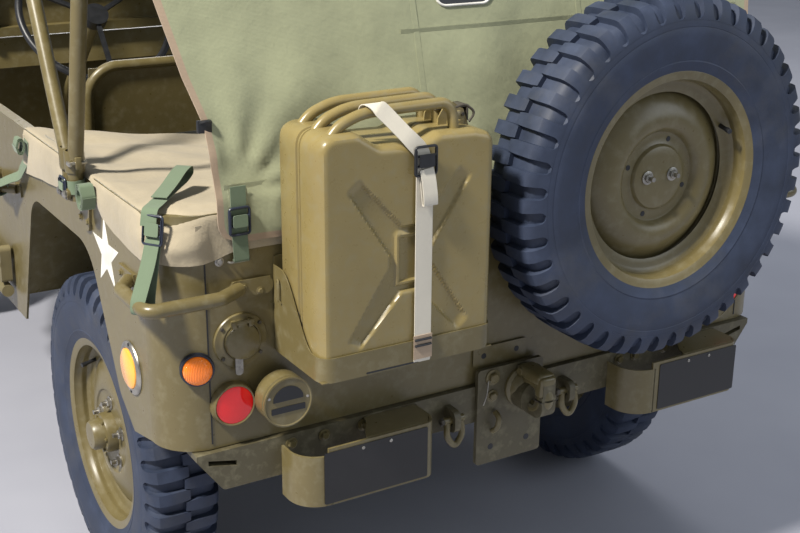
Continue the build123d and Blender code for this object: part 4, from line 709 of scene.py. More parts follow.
# Fuel can
canLook = {
    # Rows are x, z and corner radius
    "outline": [(0.5185, 0.748, 0.038), (0.5185, 1.176, 0.046), (0.448, 1.176, 0.03),
                (0.405, 1.148, 0.03), (0.322, 1.145, 0.03), (0.288, 1.16, 0.022),
                (0.215, 1.158, 0.02), (0.1735, 1.148, 0.042), (0.1735, 0.748, 0.038)],
    "backY": 1.488, "frontY": 1.653, "roll": 0.013, "edgeStep": 0.007, "step": 0.0036,
    # Pressed cross: its middle, lean of the arms in degrees, half widths and the field that holds it
    "cross": (0.346, 0.945), "lean": 52, "armWide": 0.028, "armLoss": 0.014, "armReach": 0.17,
    "field": (0.165, 0.185), "square": (0.036, 0.056), "frame": (0.024, 0.044),
    "deep": 0.0072, "raised": 0.0042,
    # Seam bead round the middle: y and inset
    "bead": [(1.582, 0.0), (1.5775, 0.0), (1.5755, 0.0045), (1.5725, 0.0045), (1.571, 0.001),
             (1.567, 0.001), (1.5655, 0.0045), (1.563, 0.0045), (1.561, 0.0), (1.555, 0.0)],
    "handleYs": (1.518, 1.5705, 1.623), "handleRadius": 0.0098, "handleBend": 0.035,
    "handle": [(0.492, 1.16), (0.47, 1.186), (0.425, 1.203), (0.262, 1.205), (0.246, 1.188),
               (0.243, 1.158)],
    "neckAt": (0.2195, 1.5705, 1.15), "capAt": (0.2195, 1.5705, 1.166), "neckRadius": 0.031,
    "cap": [(0, 0), (0, 27), (12, 27.5), (14.5, 26), (18, 18), (19, 0)],
    "earYs": (1.548, 1.593), "ear": [(-0.03, 0), (0.036, 0), (0.034, 0.02), (0.02, 0.042),
                                    (0.004, 0.045), (-0.018, 0.03)],
    # Cap latch: pins as x, z, y from, y to and radius, straps as box corners, and its wire
    "pins": [(0.236, 1.186, 1.54, 1.601, 0.0042), (0.206, 1.174, 1.543, 1.598, 0.0036)],
    "latch": [((0.19, 1.556, 1.183), (0.256, 1.585, 1.1885), 0.0015),
              ((0.186, 1.556, 1.158), (0.1905, 1.585, 1.187), 0.0012)],
    "wire": [(0.196, 1.601, 1.16), (0.184, 1.603, 1.176), (0.206, 1.603, 1.194), (0.232, 1.602, 1.187)],
}


def roundOutline(rows, steps=7):
    out = []
    count = len(rows)
    for i, (u, v, radius) in enumerate(rows):
        here = Vector((u, v))
        back = Vector(rows[i - 1][:2]) - here
        ahead = Vector(rows[(i + 1) % count][:2]) - here
        half = back.angle(ahead) / 2
        reach = min(radius / math.tan(half), back.length * 0.49, ahead.length * 0.49)
        start, end = here + back.normalized() * reach, here + ahead.normalized() * reach
        for n in range(steps + 1):
            t = n / steps
            out.append((1 - t) ** 2 * start + 2 * t * (1 - t) * here + t ** 2 * end)
    return out


def resample(points, step):
    out = []
    for a, b in zip(points, points[1:] + points[:1]):
        length = (b - a).length
        if length < 1e-6:
            continue
        pieces = max(1, round(length / step))
        out.extend(a + (b - a) * n / pieces for n in range(pieces))
    return out


def smoothStep(value, low, high):
    t = min(1.0, max(0.0, (value - low) / (high - low)))
    return t * t * (3 - 2 * t)


def pressing(u, v):
    # Pressed cross with a small frame in its middle, and a shallow field round it
    a, b = u - canLook["cross"][0], v - canLook["cross"][1]
    lean = math.radians(canLook["lean"])
    reach = math.hypot(a, b)
    arm = min(abs(a * math.sin(lean) - b * math.cos(lean)), abs(a * math.sin(lean) + b * math.cos(lean)))
    width = canLook["armWide"] - canLook["armLoss"] * min(1.0, reach / canLook["armReach"])
    inField = 1 - smoothStep(reach, *canLook["field"])
    channel = (1 - smoothStep(arm, width - 0.003, width + 0.003)) * inField
    square = max(abs(a) - canLook["square"][0], abs(b) - canLook["square"][1])
    channel = max(channel, 1 - smoothStep(square, 0.0, 0.006))
    frameGap = abs(max(abs(a) - canLook["frame"][0], abs(b) - canLook["frame"][1]))
    return canLook["raised"] * (1 - smoothStep(frameGap, 0.002, 0.006)) - canLook["deep"] * channel


def edgeGap(outline, point):
    # Distance from a point to the outline
    best = 1.0
    for a, b in zip(outline, outline[1:] + outline[:1]):
        run = b - a
        t = min(1.0, max(0.0, (point - a).dot(run) / run.length_squared))
        best = min(best, (point - a - run * t).length)
    return best


def isInside(outline, point):
    hit = False
    for a, b in zip(outline, outline[1:] + outline[:1]):
        crosses = (a.y > point.y) != (b.y > point.y)
        if crosses and point.x < (b.x - a.x) * (point.y - a.y) / (b.y - a.y) + a.x:
            hit = not hit
    return hit


def outwardNormals(outline):
    center = sum(outline, Vector((0, 0))) / len(outline)
    normals = []
    for i, point in enumerate(outline):
        run = outline[(i + 1) % len(outline)] - outline[i - 1]
        normal = Vector((run.y, -run.x)).normalized()
        if normal.dot(point - center) < 0:
            normal.negate()
        normals.append(normal)
    return normals


def addCanShell(bm):
    outline = resample(roundOutline(canLook["outline"]), canLook["edgeStep"])
    count = len(outline)
    roll, step = canLook["roll"], canLook["step"]
    low = Vector((min(p.x for p in outline), min(p.y for p in outline)))
    high = Vector((max(p.x for p in outline), max(p.y for p in outline)))
    inside = []
    for j in range(1, int((high.y - low.y) / step)):
        for i in range(1, int((high.x - low.x) / step)):
            point = Vector((low.x + i * step, low.y + j * step))
            gap = edgeGap(outline, point) if isInside(outline, point) else 0.0
            if gap > step * 0.55:
                inside.append((point, gap))
    flat = [tuple(p) for p in outline] + [tuple(p) for p, _ in inside]
    edges = [(i, (i + 1) % count) for i in range(count)]
    verts, _, faces, origins, _, _ = delaunay_2d_cdt(flat, edges, [], 1, 1e-6)
    gaps = [0.0] * count + [gap for _, gap in inside]
    rings = {}
    for side, wall in ((1, canLook["frontY"]), (-1, canLook["backY"])):
        made = []
        for vert, origin in zip(verts, origins):
            gap = gaps[origin[0]] if origin else 0.0
            bend = roll - math.sqrt(max(0.0, roll * roll - (roll - min(gap, roll)) ** 2))
            press = pressing(vert.x, vert.y) * smoothStep(gap, 0.014, 0.03)
            made.append(bm.verts.new((vert.x, wall + side * (press - bend), vert.y)))
        for face in faces:
            bm.faces.new([made[i] for i in (face if side > 0 else face[::-1])])
        order = {}
        for index, origin in enumerate(origins):
            for source in origin:
                if source < count:
                    order[source] = made[index]
        rings[side] = [order[i] for i in range(count)]
    normals = outwardNormals(outline)
    walls = [rings[1]]
    for y, inset in canLook["bead"]:
        walls.append([bm.verts.new((p.x - n.x * inset, y, p.y - n.y * inset))
                      for p, n in zip(outline, normals)])
    walls.append(rings[-1])
    joinRings(bm, walls)


bm = bmesh.new()
addCanShell(bm)
for y in canLook["handleYs"]:
    path = [(x, y, z) for x, z in canLook["handle"]]
    addTube(bm, path, canLook["handleRadius"], canLook["handleBend"], segments=16)
addRod(bm, canLook["neckAt"], canLook["capAt"], canLook["neckRadius"], segments=36, edge=0.002)
addTurned(bm, canLook["cap"], canLook["capAt"], zWay, 0, 40)
for y in canLook["earYs"]:
    addPlate(bm, canLook["ear"], (0.222, y + 0.0015, 1.152), xWay, zWay, 0.003)
for x, z, start, end, radius in canLook["pins"]:
    addRod(bm, (x, start, z), (x, end, z), radius, 1, 14)
for low, high, edge in canLook["latch"]:
    addBox(bm, low, high, 1, edge)
addTube(bm, canLook["wire"], 0.0024, 0.01, 1, 8)
finished("fuelCanShell", bm, ["canPaintWithPaintedSun", "darkSteel"], "car", ("fuel_can",), 34)

# Tray with one wall bent round its two front corners, high at the back
trayLook = {
    "plan": [(0.5232, 1.4735, 0), (0.5232, 1.6562, 0), (0.1688, 1.6562, 0), (0.1688, 1.4735, 0)],
    "bend": 0.028, "step": 0.012, "middle": (0.346, 1.56, 0), "halfWall": 0.0011, "low": 0.7447,
    "top": 0.7905, "rise": 0.12, "riseFrom": 1.622, "riseRun": 0.118,
    # Floor and back as box corners
    "sheets": [((0.17, 1.4722, 0.7449), (0.522, 1.655, 0.7469)),
               ((0.17, 1.4706, 0.7449), (0.522, 1.4726, 0.926))],
    "loop": [(0.5255, 1.506, 0.846), (0.5285, 1.503, 0.852), (0.5285, 1.503, 0.885),
             (0.5275, 1.498, 0.89), (0.5255, 1.492, 0.885), (0.5255, 1.492, 0.848)],
    # Black box in the front wall's slit: painted shade in the opening, as box corners
    "slitShade": ((0.33, 1.6571, 0.7475), (0.4365, 1.6578, 0.7505)),
}
bm = bmesh.new()
wall = smoothPath(trayLook["plan"], trayLook["bend"], 9)
fine = []
for a, b in zip(wall, wall[1:]):
    pieces = max(1, round((b - a).length / trayLook["step"]))
    fine.extend(a + (b - a) * n / pieces for n in range(pieces))
fine.append(wall[-1])
rings = []
for i, point in enumerate(fine):
    ahead = (fine[min(i + 1, len(fine) - 1)] - fine[max(i - 1, 0)]).normalized()
    out = Vector((-ahead.y, ahead.x, 0))
    if out.dot(point - Vector(trayLook["middle"])) < 0:
        out.negate()
    share = smoothStep(trayLook["riseFrom"] - point.y, 0.0, trayLook["riseRun"])
    floorZ, topZ = trayLook["low"], trayLook["top"] + trayLook["rise"] * share
    low, high = point - out * trayLook["halfWall"], point + out * trayLook["halfWall"]
    corners = ((low, floorZ), (high, floorZ), (high, topZ), (low, topZ))
    rings.append([bm.verts.new(p + Vector((0, 0, z))) for p, z in corners])
joinRings(bm, rings, 0, caps=(True, True))
for low, high in trayLook["sheets"]:
    addBox(bm, low, high)
addTube(bm, trayLook["loop"], 0.002, 0.005, 0, 8)
# Painted shade in the slit of the front wall
addBox(bm, *trayLook["slitShade"], 1)
finished("canTray", bm, ["olive", "black"], "car", ("can_tray",))

# Rear lamps; profile rows are place along the axis and radius in millimetres
lampLook = {
    "blackoutAt": (0.528, 1.47, 0.664), "blackoutRadius": 0.04, "faceY": 1.5303,
    "blackout": [(0, 0), (0, 45), (3, 48.5), (34, 48.5), (36, 45.5), (38.5, 45.5), (40, 49), (44, 49),
                 (44.5, 46.5), (43, 44.5), (42.5, 0)],
    "tailAt": (0.612, 1.47, 0.658), "tailLensY": 1.4822,
    "tailRing": [(0, 0), (0, 43.5), (4, 43.5), (7, 42), (14, 40.5), (15.5, 38.5), (14, 36.5),
                 (11.5, 36.2), (11.5, 0)],
    "tailLens": [(0, 0), (0, 36.2), (1.2, 35.8), (1.6, 34), (1.8, 0)],
    # The orange lamp stands on the round corner of the body
    "corner": (0.652, 1.385, 0.085), "turn": 16, "signalZ": 0.738, "signalLift": 0.0072,
    "signalBase": [(-6, 0), (-6, 30.5), (6, 31.5), (10.5, 30.5), (11, 27.5), (8.5, 26), (7.5, 0)],
    "signalLens": [(0, 0), (0, 26.2), (8, 26.2), (13, 23.5), (16.5, 18), (18.5, 10), (19, 0)],
    "reflectorAt": (0.737, 1.294, 0.688), "reflectorLensX": 0.742, "reflectorScrew": (0.7412, 0.0475),
    "reflectorRing": [(0, 0), (0, 52.5), (1.6, 53), (4, 51.5), (4.8, 45), (6.6, 42.5), (6.6, 40),
                      (5, 39), (5, 0)],
    "reflectorLens": [(0, 0), (0, 39), (3.5, 38.5), (6.2, 34), (6.8, 0)],
}
bm = bmesh.new()
cornerX, cornerY, cornerR = lampLook["corner"]
for side in (1, -1):
    x, y, z = lampLook["blackoutAt"]
    x, faceY, far = side * x, lampLook["faceY"], lampLook["blackoutRadius"]
    addRod(bm, (x, y, z), (x, y + 0.022, z), 0.021)
    addTurned(bm, lampLook["blackout"], (x, y + 0.018, z), yWay, 0, 56)
    upper = arcPoints(0, -0.004, 0.032, 22, 158, 12) + [(-0.03, 0.0), (0.03, 0.0)]
    lower = roundedRect(-0.034, -0.0065, 0.034, 0.0055, 0.001, 2)
    addPlate(bm, [(-u, v) for u, v in upper], (x, faceY, z + 0.004), xWay, zWay, -0.0022, 1)
    addPlate(bm, lower, (x, faceY, z - 0.013), xWay, zWay, -0.0016, 1)
    for turn in (math.radians(175), math.radians(20)):
        addScrew(bm, (x + side * far * math.cos(turn), faceY, z + far * math.sin(turn)), yWay, 0.0032, 2)
    x, y, z = lampLook["tailAt"]
    addTurned(bm, lampLook["tailRing"], (side * x, y, z), yWay, 0, 56)
    addTurned(bm, lampLook["tailLens"], (side * x, lampLook["tailLensY"], z), yWay, 3, 56)
    turn = math.radians(lampLook["turn"])
    out = Vector((side * math.sin(turn), math.cos(turn), 0))
    base = Vector((side * (cornerX + cornerR * math.sin(turn)), cornerY + cornerR * math.cos(turn),
                   lampLook["signalZ"]))
    addTurned(bm, lampLook["signalBase"], base, out, 4, 48)
    addTurned(bm, lampLook["signalLens"], base + out * lampLook["signalLift"], out, 5, 48)
    x, y, z = lampLook["reflectorAt"]
    outward = (side, 0, 0)
    addTurned(bm, lampLook["reflectorRing"], (side * x, y, z), outward, 2, 56)
    addTurned(bm, lampLook["reflectorLens"], (side * lampLook["reflectorLensX"], y, z), outward, 6, 56)
    screwX, screwUp = lampLook["reflectorScrew"]
    for way in (1, -1):
        addScrew(bm, (side * screwX, y, z + way * screwUp), outward, 0.0036, 1)
lampMaterials = ["olive", "black", "brightSteel", "redLens", "buckle", "orangeLens", "amberLens"]
finished("rearLampSet", bm, lampMaterials, "car", ("rear_lamps",), 32)

# Trailer socket with its sprung cap
socketLook = {
    "at": (0.592, 1.47, 0.778), "boltRing": 0.0465, "boltTurns": (38, 142, 218, 322),
    "ring": [(0, 0), (0, 51.5), (3, 52), (5.5, 50.5), (6, 44.5), (6.8, 40), (8.8, 37.5), (8.8, 35.2),
             (6.5, 34.5), (6.5, 0)],
    "cap": [(6.5, 33.5), (13.5, 33.5), (16.5, 31.5), (18.5, 26), (21.5, 17), (22.5, 0)],
    "hinge": ((0.57, 1.4835, 0.816), (0.614, 1.4835, 0.816)),
    # Hinge eyes as box corners and edge
    "eyes": [((0.572, 1.476, 0.806), (0.581, 1.488, 0.82), 0.0015),
             ((0.603, 1.476, 0.806), (0.612, 1.488, 0.82), 0.0015),
             ((0.583, 1.482, 0.8), (0.601, 1.4865, 0.818), 0.0012)],
}
bm = bmesh.new()
x, y, z = socketLook["at"]
for part, segments in (("ring", 56), ("cap", 48)):
    addTurned(bm, socketLook[part], (x, y, z), yWay, 0, segments)
tab = roundedRect(-0.0075, -0.026, 0.0075, 0.012, 0.0065, 5)
addPlate(bm, tab, (0.601, 1.4815, 0.742), xWay, zWay, -0.0035, 2)
addRod(bm, *socketLook["hinge"], 0.0042, 0, 14)
for low, high, edge in socketLook["eyes"]:
    addBox(bm, low, high, 0, edge)
for degrees in socketLook["boltTurns"]:
    turn, far = math.radians(degrees), socketLook["boltRing"]
    spot = (x + far * math.cos(turn), y + 0.0055, z + far * math.sin(turn))
    addBolt(bm, spot, yWay, 0.0038, 1, False)
socketMaterials = ["olive", "darkSteel", "brightSteel"]
finished("socketCap", bm, socketMaterials, "car", ("trailer_socket",), 32)

# Small hardware of the back
hardwareLook = {
    "pad": (-0.046, -0.016, 0.04, 0.016, 0.015, 6), "padAt": (0.566, 1.4757, 0.876),
    "padBolts": [(0.552, 1.4765, 0.867), (0.584, 1.4765, 0.879)],
    "handleBolts": [(0.742, 1.284, 0.876), (0.742, 1.332, 0.876)],
    # The black strip at each side seam is painted shade in the seam's groove
    "seamShadeX": 0.6535, "seamShadeHalf": 0.0012, "seam": ((1.4695, 0.585), (1.4712, 0.935)),
    "beamBolts": [(x, 1.482, 0.552) for x in (0.3, 0.345, 0.43, 0.5)],
    "blankPlate": (-0.066, -0.02, 0.066, 0.02, 0.003, 2), "blankPlateAt": (0.018, 1.4722, 0.633),
    # Round heads as x, z, y from, y to, radius and segments
    "heads": [(-0.024, 0.633, 1.4745, 1.4757, 0.0062, 16), (0.058, 0.633, 1.4745, 1.4757, 0.0062, 16),
              (0.046, 0.432, 1.4915, 1.4925, 0.0068, 18), (-0.046, 0.432, 1.4915, 1.4925, 0.0068, 18)],
    # Bolts of the tow plate as x, z and size
    "plateBolts": [(0.046, 0.548, 0.0095), (-0.046, 0.548, 0.0095), (0.046, 0.59, 0.012)],
    "handle": [(0.046, 1.497, 0.47), (0.044, 1.512, 0.482), (0.04, 1.512, 0.505),
               (0.04, 1.497, 0.512)],
    "chain": [(0.06, 1.497, 0.585), (0.066, 1.503, 0.56), (0.072, 1.499, 0.535)],
}
bm = bmesh.new()
for side in (1, -1):
    x, y, z = hardwareLook["padAt"]
    pad = roundedRect(*hardwareLook["pad"])[::-1]
    addPlate(bm, pad, (side * x, y, z), (-side, 0, 0), zWay, side * 0.0012)
    for x, y, z in hardwareLook["padBolts"]:
        addBolt(bm, (side * x, y, z), yWay, 0.0052, 0)
    for x, y, z in hardwareLook["handleBolts"]:
        addBolt(bm, (side * x, y, z), (side, 0, 0), 0.0052, 0)
    # Black strip along the seam: painted shade in its groove
    seamShadeX, half = side * hardwareLook["seamShadeX"], hardwareLook["seamShadeHalf"]
    low, high = hardwareLook["seam"]
    addBox(bm, (seamShadeX - half, *low), (seamShadeX + half, *high), 1)
    for x, y, z in hardwareLook["beamBolts"]:
        addBolt(bm, (side * x, y, z), yWay, 0.0085, 0)
blank = roundedRect(*hardwareLook["blankPlate"])[::-1]
addPlate(bm, blank, hardwareLook["blankPlateAt"], (-1, 0, 0), zWay, 0.003)
for x, z, start, end, radius, segments in hardwareLook["heads"]:
    addRod(bm, (x, start, z), (x, end, z), radius, 1, segments)
for x, z, size in hardwareLook["plateBolts"]:
    addBolt(bm, (x, 1.492, z), yWay, size, 0)
addTube(bm, hardwareLook["handle"], 0.006, 0.012, 0, 12)
addTube(bm, hardwareLook["chain"], 0.0012, 0.01, 3, 6)
finished("rearHardware", bm, ["olive", "black", "plate", "brightSteel"], "car")

# Tow hook: flange, ring, jaw and latch, with a shackle on each side
hookLook = {
    "x": -0.03, "flangeAt": (1.4922, 0.556), "ringAt": (1.54, 0.556), "ringRadius": 0.031,
    "ringThick": 0.0175, "pinAt": (1.512, 0.598), "pinHalf": 0.0235,
    "flange": [(0, 0), (0, 45), (6, 45), (10, 38), (22, 34), (30, 26), (32, 0)],
    # Boxes as half width, low and high corner in y and z, material, edge and segments
    "boxes": [(0.0205, (1.498, 0.584), (1.577, 0.611), 0, 0.009, 3),
              (0.0195, (1.556, 0.56), (1.5835, 0.606), 0, 0.008, 3),
              (0.02, (1.556, 0.5525), (1.584, 0.5545), 1, 0.0, 2)],
    "shackleXs": (0.15, -0.14), "shacklePin": (1.506, 0.526), "shackleHalf": 0.024,
    "shackle": [(-0.015, 1.508, 0.522), (-0.02, 1.512, 0.495), (0, 1.514, 0.466), (0.02, 1.512, 0.495),
                (0.015, 1.508, 0.522)],
}
bm = bmesh.new()
hookX = hookLook["x"]
addTurned(bm, hookLook["flange"], (hookX, *hookLook["flangeAt"]), yWay, 0, 40)
ringY, ringZ = hookLook["ringAt"]
ring = []
for degrees in range(0, 361, 15):
    turn, far = math.radians(degrees), hookLook["ringRadius"]
    ring.append((hookX, ringY + far * math.cos(turn), ringZ + far * math.sin(turn)))
addTube(bm, ring, hookLook["ringThick"], 0.001, 0, 18, 1, ends=False)
for half, low, high, mat, edge, segments in hookLook["boxes"]:
    addBox(bm, (hookX - half, *low), (hookX + half, *high), mat, edge, segments)
pinLow, pinHigh = [(hookX + way * hookLook["pinHalf"], *hookLook["pinAt"]) for way in (-1, 1)]
addRod(bm, pinLow, pinHigh, 0.0085, 0, 18)
addBolt(bm, pinLow, (-1, 0, 0), 0.006, 1, False)
for x in hookLook["shackleXs"]:
    addTube(bm, [(x + dx, y, z) for dx, y, z in hookLook["shackle"]], 0.0068, 0.018, 0, 12)
    pinLow, pinHigh = [(x + way * hookLook["shackleHalf"], *hookLook["shacklePin"]) for way in (-1, 1)]
    addRod(bm, pinLow, pinHigh, 0.0078, 0, 16)
    addBolt(bm, pinHigh, xWay, 0.0085, 1, False)
finished("hookFittings", bm, ["olive", "darkSteel"], "car")

# Bumperettes: one bent plate each, a gusset over the inner half and a blank dark plate
bumperLook = {
    # Inner end, outer end and middle of the blank plate
    "ends": [(0.228, 0.519, 0.3625), (-0.578, -0.27, -0.4555)],
    "bodyY": 1.483, "faceY": 1.564, "innerZ": 0.509, "innerTall": 0.118, "outerZ": 0.502,
    "outerTall": 0.103, "thick": 0.005, "bendRadius": 0.056, "bendY": 1.508, "plateY": 1.5667,
    "plate": (-0.1125, -0.053, 0.1125, 0.053, 0.003, 2), "screwAt": (0.03, 1.5683, 0.553),
    # Gusset corners as a length or a share of the width, and y
    "gusset": [(0.004, 0, 1.4832), (0.004, 0, 1.54), (0.018, 0, 1.5618), (0, 0.53, 1.5618),
               (0, 0.49, 1.535), (0, 0.42, 1.505), (0, 0.4, 1.4832)],
}
bm = bmesh.new()
bodyY, faceY, reach = bumperLook["bodyY"], bumperLook["faceY"], bumperLook["bendRadius"]
for inner, outer, plateX in bumperLook["ends"]:
    line = [(inner, bodyY), (inner, 1.545), (inner + 0.014, faceY), (outer - 0.075, faceY),
            (outer - 0.054, faceY)]
    line = [(x, y, bumperLook["innerZ"]) for x, y in line]
    addStrip(bm, line, zWay, bumperLook["innerTall"], bumperLook["thick"], 0.018, 0, 8)
    line = [(outer - 0.062, faceY)]
    for degrees in range(0, 91, 9):
        turn = math.radians(degrees)
        line.append((outer - reach + reach * math.sin(turn),
                     bumperLook["bendY"] + reach * math.cos(turn)))
    line = [(x, y, bumperLook["outerZ"]) for x, y in line + [(outer, bodyY)]]
    addStrip(bm, line, zWay, bumperLook["outerTall"], bumperLook["thick"], 0.003, 0, 2)
    wide = outer - inner
    gusset = [(inner + far + share * wide, y) for far, share, y in bumperLook["gusset"]]
    addPlate(bm, gusset, (0, 0, 0.5655), xWay, yWay, 0.004)
    plate = roundedRect(*bumperLook["plate"])[::-1]
    addPlate(bm, plate, (plateX, bumperLook["plateY"], 0.508), (-1, 0, 0), zWay, 0.0014, 1)
    u, y, z = bumperLook["screwAt"]
    for way in (-1, 1):
        addScrew(bm, (plateX + way * u, y, z), yWay, 0.0035, 2)
bumperMaterials = ["olive", "plate", "brightSteel"]
finished("bumperettePair", bm, bumperMaterials, "car", ("rear_bumperettes",), 34)

# Spare wheel carrier, with its plate against the back of the wheel disc
carrierLook = {
    "x": -0.256, "plateY": 1.5985, "armX": 0.08, "armThick": 0.008,
    # Arm corners as y and z
    "arm": [(1.475, 0.832), (1.5785, 0.918), (1.5985, 0.94), (1.5985, 1.046), (1.5905, 1.046),
            (1.475, 0.928)],
    "base": (0.105, (1.4702, 0.79), (1.4762, 0.93)), "plate": (0.084, (1.5915, 0.94), (1.5985, 1.06)),
}
bm = bmesh.new()
spareX, plateY = carrierLook["x"], carrierLook["plateY"]
for x in (spareX - carrierLook["armX"], spareX + carrierLook["armX"]):
    thick = carrierLook["armThick"]
    addPlate(bm, carrierLook["arm"], (x - thick / 2, 0, 0), yWay, zWay, thick)
for half, low, high in (carrierLook["base"], carrierLook["plate"]):
    addBox(bm, (spareX - half, *low), (spareX + half, *high))
addRod(bm, (spareX, plateY - 0.002, 1.0), (spareX, plateY + 0.012, 1.0), 0.046)
finished("spareCarrier", bm, ["olive"], "car", ("spare_bracket",), 34)

# Bow feet: two sleeves with a clamp, pins and bolts on each side
bowLook = {
    "x": 0.759, "sleeveYs": (1.0685, 1.1015), "sleeveZ": 1.048, "pinX": 0.7803, "pinZ": 0.985,
    "sleeve": [(-21, 15.5), (-21, 18.5), (-15, 19.5), (15, 19.5), (21, 18.5), (21, 15.5)],
    "pin": [(0, 0), (0, 8.5), (4, 8.5), (7, 5), (7, 0)],
    # Boxes as x, half width, low and high corner in y and z, and material
    "boxes": [(0.759, 0.006, (1.1175, 1.036), (1.13, 1.06), 0),
              (0.7765, 0.003, (1.113, 1.044), (1.135, 1.052), 1)],
    "clampPin": [(0.742, 1.124, 1.048), (0.776, 1.124, 1.048)],
    "bolts": [(0.743, 1.063, 0.925), (0.743, 1.107, 0.925)],
}
bm = bmesh.new()
for side in (1, -1):
    for y in bowLook["sleeveYs"]:
        addTurned(bm, bowLook["sleeve"], (side * bowLook["x"], y, bowLook["sleeveZ"]), zWay, 0, 28)
        addTurned(bm, bowLook["pin"], (side * bowLook["pinX"], y, bowLook["pinZ"]), (side, 0, 0), 1, 18)
    for x, half, low, high, mat in bowLook["boxes"]:
        addBox(bm, (side * x - half, *low), (side * x + half, *high), mat, 0.002)
    pinLow, pinHigh = [(side * x, y, z) for x, y, z in bowLook["clampPin"]]
    addRod(bm, pinLow, pinHigh, 0.0035, 1, 12)
    for x, y, z in bowLook["bolts"]:
        addBolt(bm, (side * x, y, z), (side, 0, 0), 0.0055, 0)
finished("bowClamps", bm, ["olive", "brightSteel"], "car")

# Star on the left side
starLook = {"at": (0.7371, 1.187, 0.882), "reach": 0.077, "waist": 0.382, "thick": 0.0004}
bm = bmesh.new()
star = []
for n in range(10):
    turn = math.radians(90 + 36 * n)
    reach = starLook["reach"] * (1 if n % 2 == 0 else starLook["waist"])
    star.append((reach * math.cos(turn), reach * math.sin(turn)))
addPlate(bm, star, starLook["at"], yWay, zWay, starLook["thick"])
finished("sideStar", bm, ["white"], "car")
print("hard pieces done")


# Cloth helpers
def between(rows, value):
    # Straight-line lookup in rows of (place, number)
    if value <= rows[0][0]:
        return rows[0][1]
    for (a, low), (b, high) in zip(rows, rows[1:]):
        if value <= b:
            return low + (high - low) * (value - a) / (b - a)
    return rows[-1][1]


def thicken(bm, uv, thickness):
    # Second skin along the vertex normals, joined round every open edge
    bm.normal_update()
    front = bm.faces[:]
    rim = [edge for edge in bm.edges if len(edge.link_faces) == 1]
    twins = {}
    for vert in bm.verts[:]:
        twins[vert] = bm.verts.new(vert.co - vert.normal * thickness / 2)
        vert.co += vert.normal * thickness / 2
    for face in front:
        loops = list(face.loops)[::-1]
        made = bm.faces.new([twins[loop.vert] for loop in loops])
        made.material_index = face.material_index
        for new, old in zip(made.loops, loops):
            new[uv].uv = old[uv].uv
    for edge in rim:
        first = edge.link_loops[0]
        second = first.link_loop_next
        made = bm.faces.new([second.vert, first.vert, twins[first.vert], twins[second.vert]])
        made.material_index = first.face.material_index
        for new, old in zip(made.loops, (second, first, first, second)):
            new[uv].uv = old[uv].uv


def clothSheet(name, rows, uvRows, thickness, materials, replaced=(), matOf=None):
    bm = bmesh.new()
    uv = bm.loops.layers.uv.verify()
    verts = [[bm.verts.new(p) for p in row] for row in rows]
    for j in range(len(rows) - 1):
        for i in range(len(rows[0]) - 1):
            corners = ((i, j), (i + 1, j), (i + 1, j + 1), (i, j + 1))
            face = bm.faces.new([verts[b][a] for a, b in corners])
            face.material_index = matOf(i, j) if matOf else 0
            for loop, (a, b) in zip(face.loops, corners):
                loop[uv].uv = uvRows[b][a]
    bmesh.ops.remove_doubles(bm, verts=bm.verts, dist=1e-5)
    bmesh.ops.recalc_face_normals(bm, faces=bm.faces)
    thicken(bm, uv, thickness)
    return finished(name, bm, materials, "car", replaced, 60.0)


def runUv(rows):
    # Cloth coordinates in metres, run along each row and down the columns
    out, down = [], 0.0
    for j, row in enumerate(rows):
        if j:
            down += (row[len(row) // 2] - rows[j - 1][len(row) // 2]).length
        along, line = 0.0, []
        for i, point in enumerate(row):
            if i:
                along += (point - row[i - 1]).length
            line.append(along)
        out.append([(value - along / 2, down) for value in line])
    return out


def evenShares(count, band):
    # Shares from 0 to 1 with one narrow hem cell at each end
    return [0.0] + [band + (1 - 2 * band) * n / count for n in range(count + 1)] + [1.0]


# Canvas roof
roofLook = {
    # Half width and height of the underside along y
    "half": [(-0.2296, 0.618), (0.645, 0.7613), (1.3003, 0.7613)],
    "under": [(-0.2296, 1.7415), (0.645, 1.7683), (1.3003, 1.7533)],
    "frontY": -0.2296, "bowY": 0.645, "rearBowY": 1.283, "length": 1.5299,
    "drop": 0.074, "corner": 0.06, "thick": 0.0024, "lift": 0.0016,
    # Sag between the supports with its ripple, and the same for the hanging sides
    "sag": 0.013, "ripple": 0.003, "sideSag": 0.004, "sideRipple": 0.0025,
    "cellsY": (88, 0.012), "cellsX": (150, 0.011),
}


def roofPoint(share, y):
    half = between(roofLook["half"], y) + roofLook["lift"]
    under = between(roofLook["under"], y) + roofLook["lift"]
    corner = roofLook["corner"]
    arc, straight, top = corner * math.pi / 2, roofLook["drop"] - corner, 2 * (half - corner)
    along = share * (2 * straight + 2 * arc + top)
    side = 1
    if along > straight + arc + top / 2:
        along, side = 2 * straight + 2 * arc + top - along, -1
    if along < straight:
        x, z = half, under - roofLook["drop"] + along
    elif along < straight + arc:
        turn = (along - straight) / corner
        x, z = half - corner + corner * math.cos(turn), under - corner + corner * math.sin(turn)
    else:
        x, z = half - corner - (along - straight - arc), under
    low, high = roofLook["frontY"], roofLook["bowY"]
    if y >= roofLook["bowY"]:
        low, high = roofLook["bowY"], roofLook["rearBowY"]
    t = min(1.0, max(0.0, (y - low) / (high - low)))
    slack = 4 * t * (1 - t)
    crown = max(0.0, 1 - (x / half) ** 4)
    z -= slack * crown * (roofLook["sag"] + roofLook["ripple"] * wave((x, y * 0.4, 0), 5.0, 2.0))
    if z < under - 0.02:
        x -= slack * roofLook["sideSag"] - roofLook["sideRipple"] * wave((0, y, z), 8.0, side * 3.0)
    return Vector((side * x, y, z))


rowsY = [roofLook["frontY"] + roofLook["length"] * t for t in evenShares(*roofLook["cellsY"])]
rows = [[roofPoint(share, y) for share in evenShares(*roofLook["cellsX"])] for y in rowsY]
clothMaterials = ["canvas", "edging"]
roof = clothSheet("canvasRoof", rows, runUv(rows), roofLook["thick"], clothMaterials,
                  ("canvas_roof",))

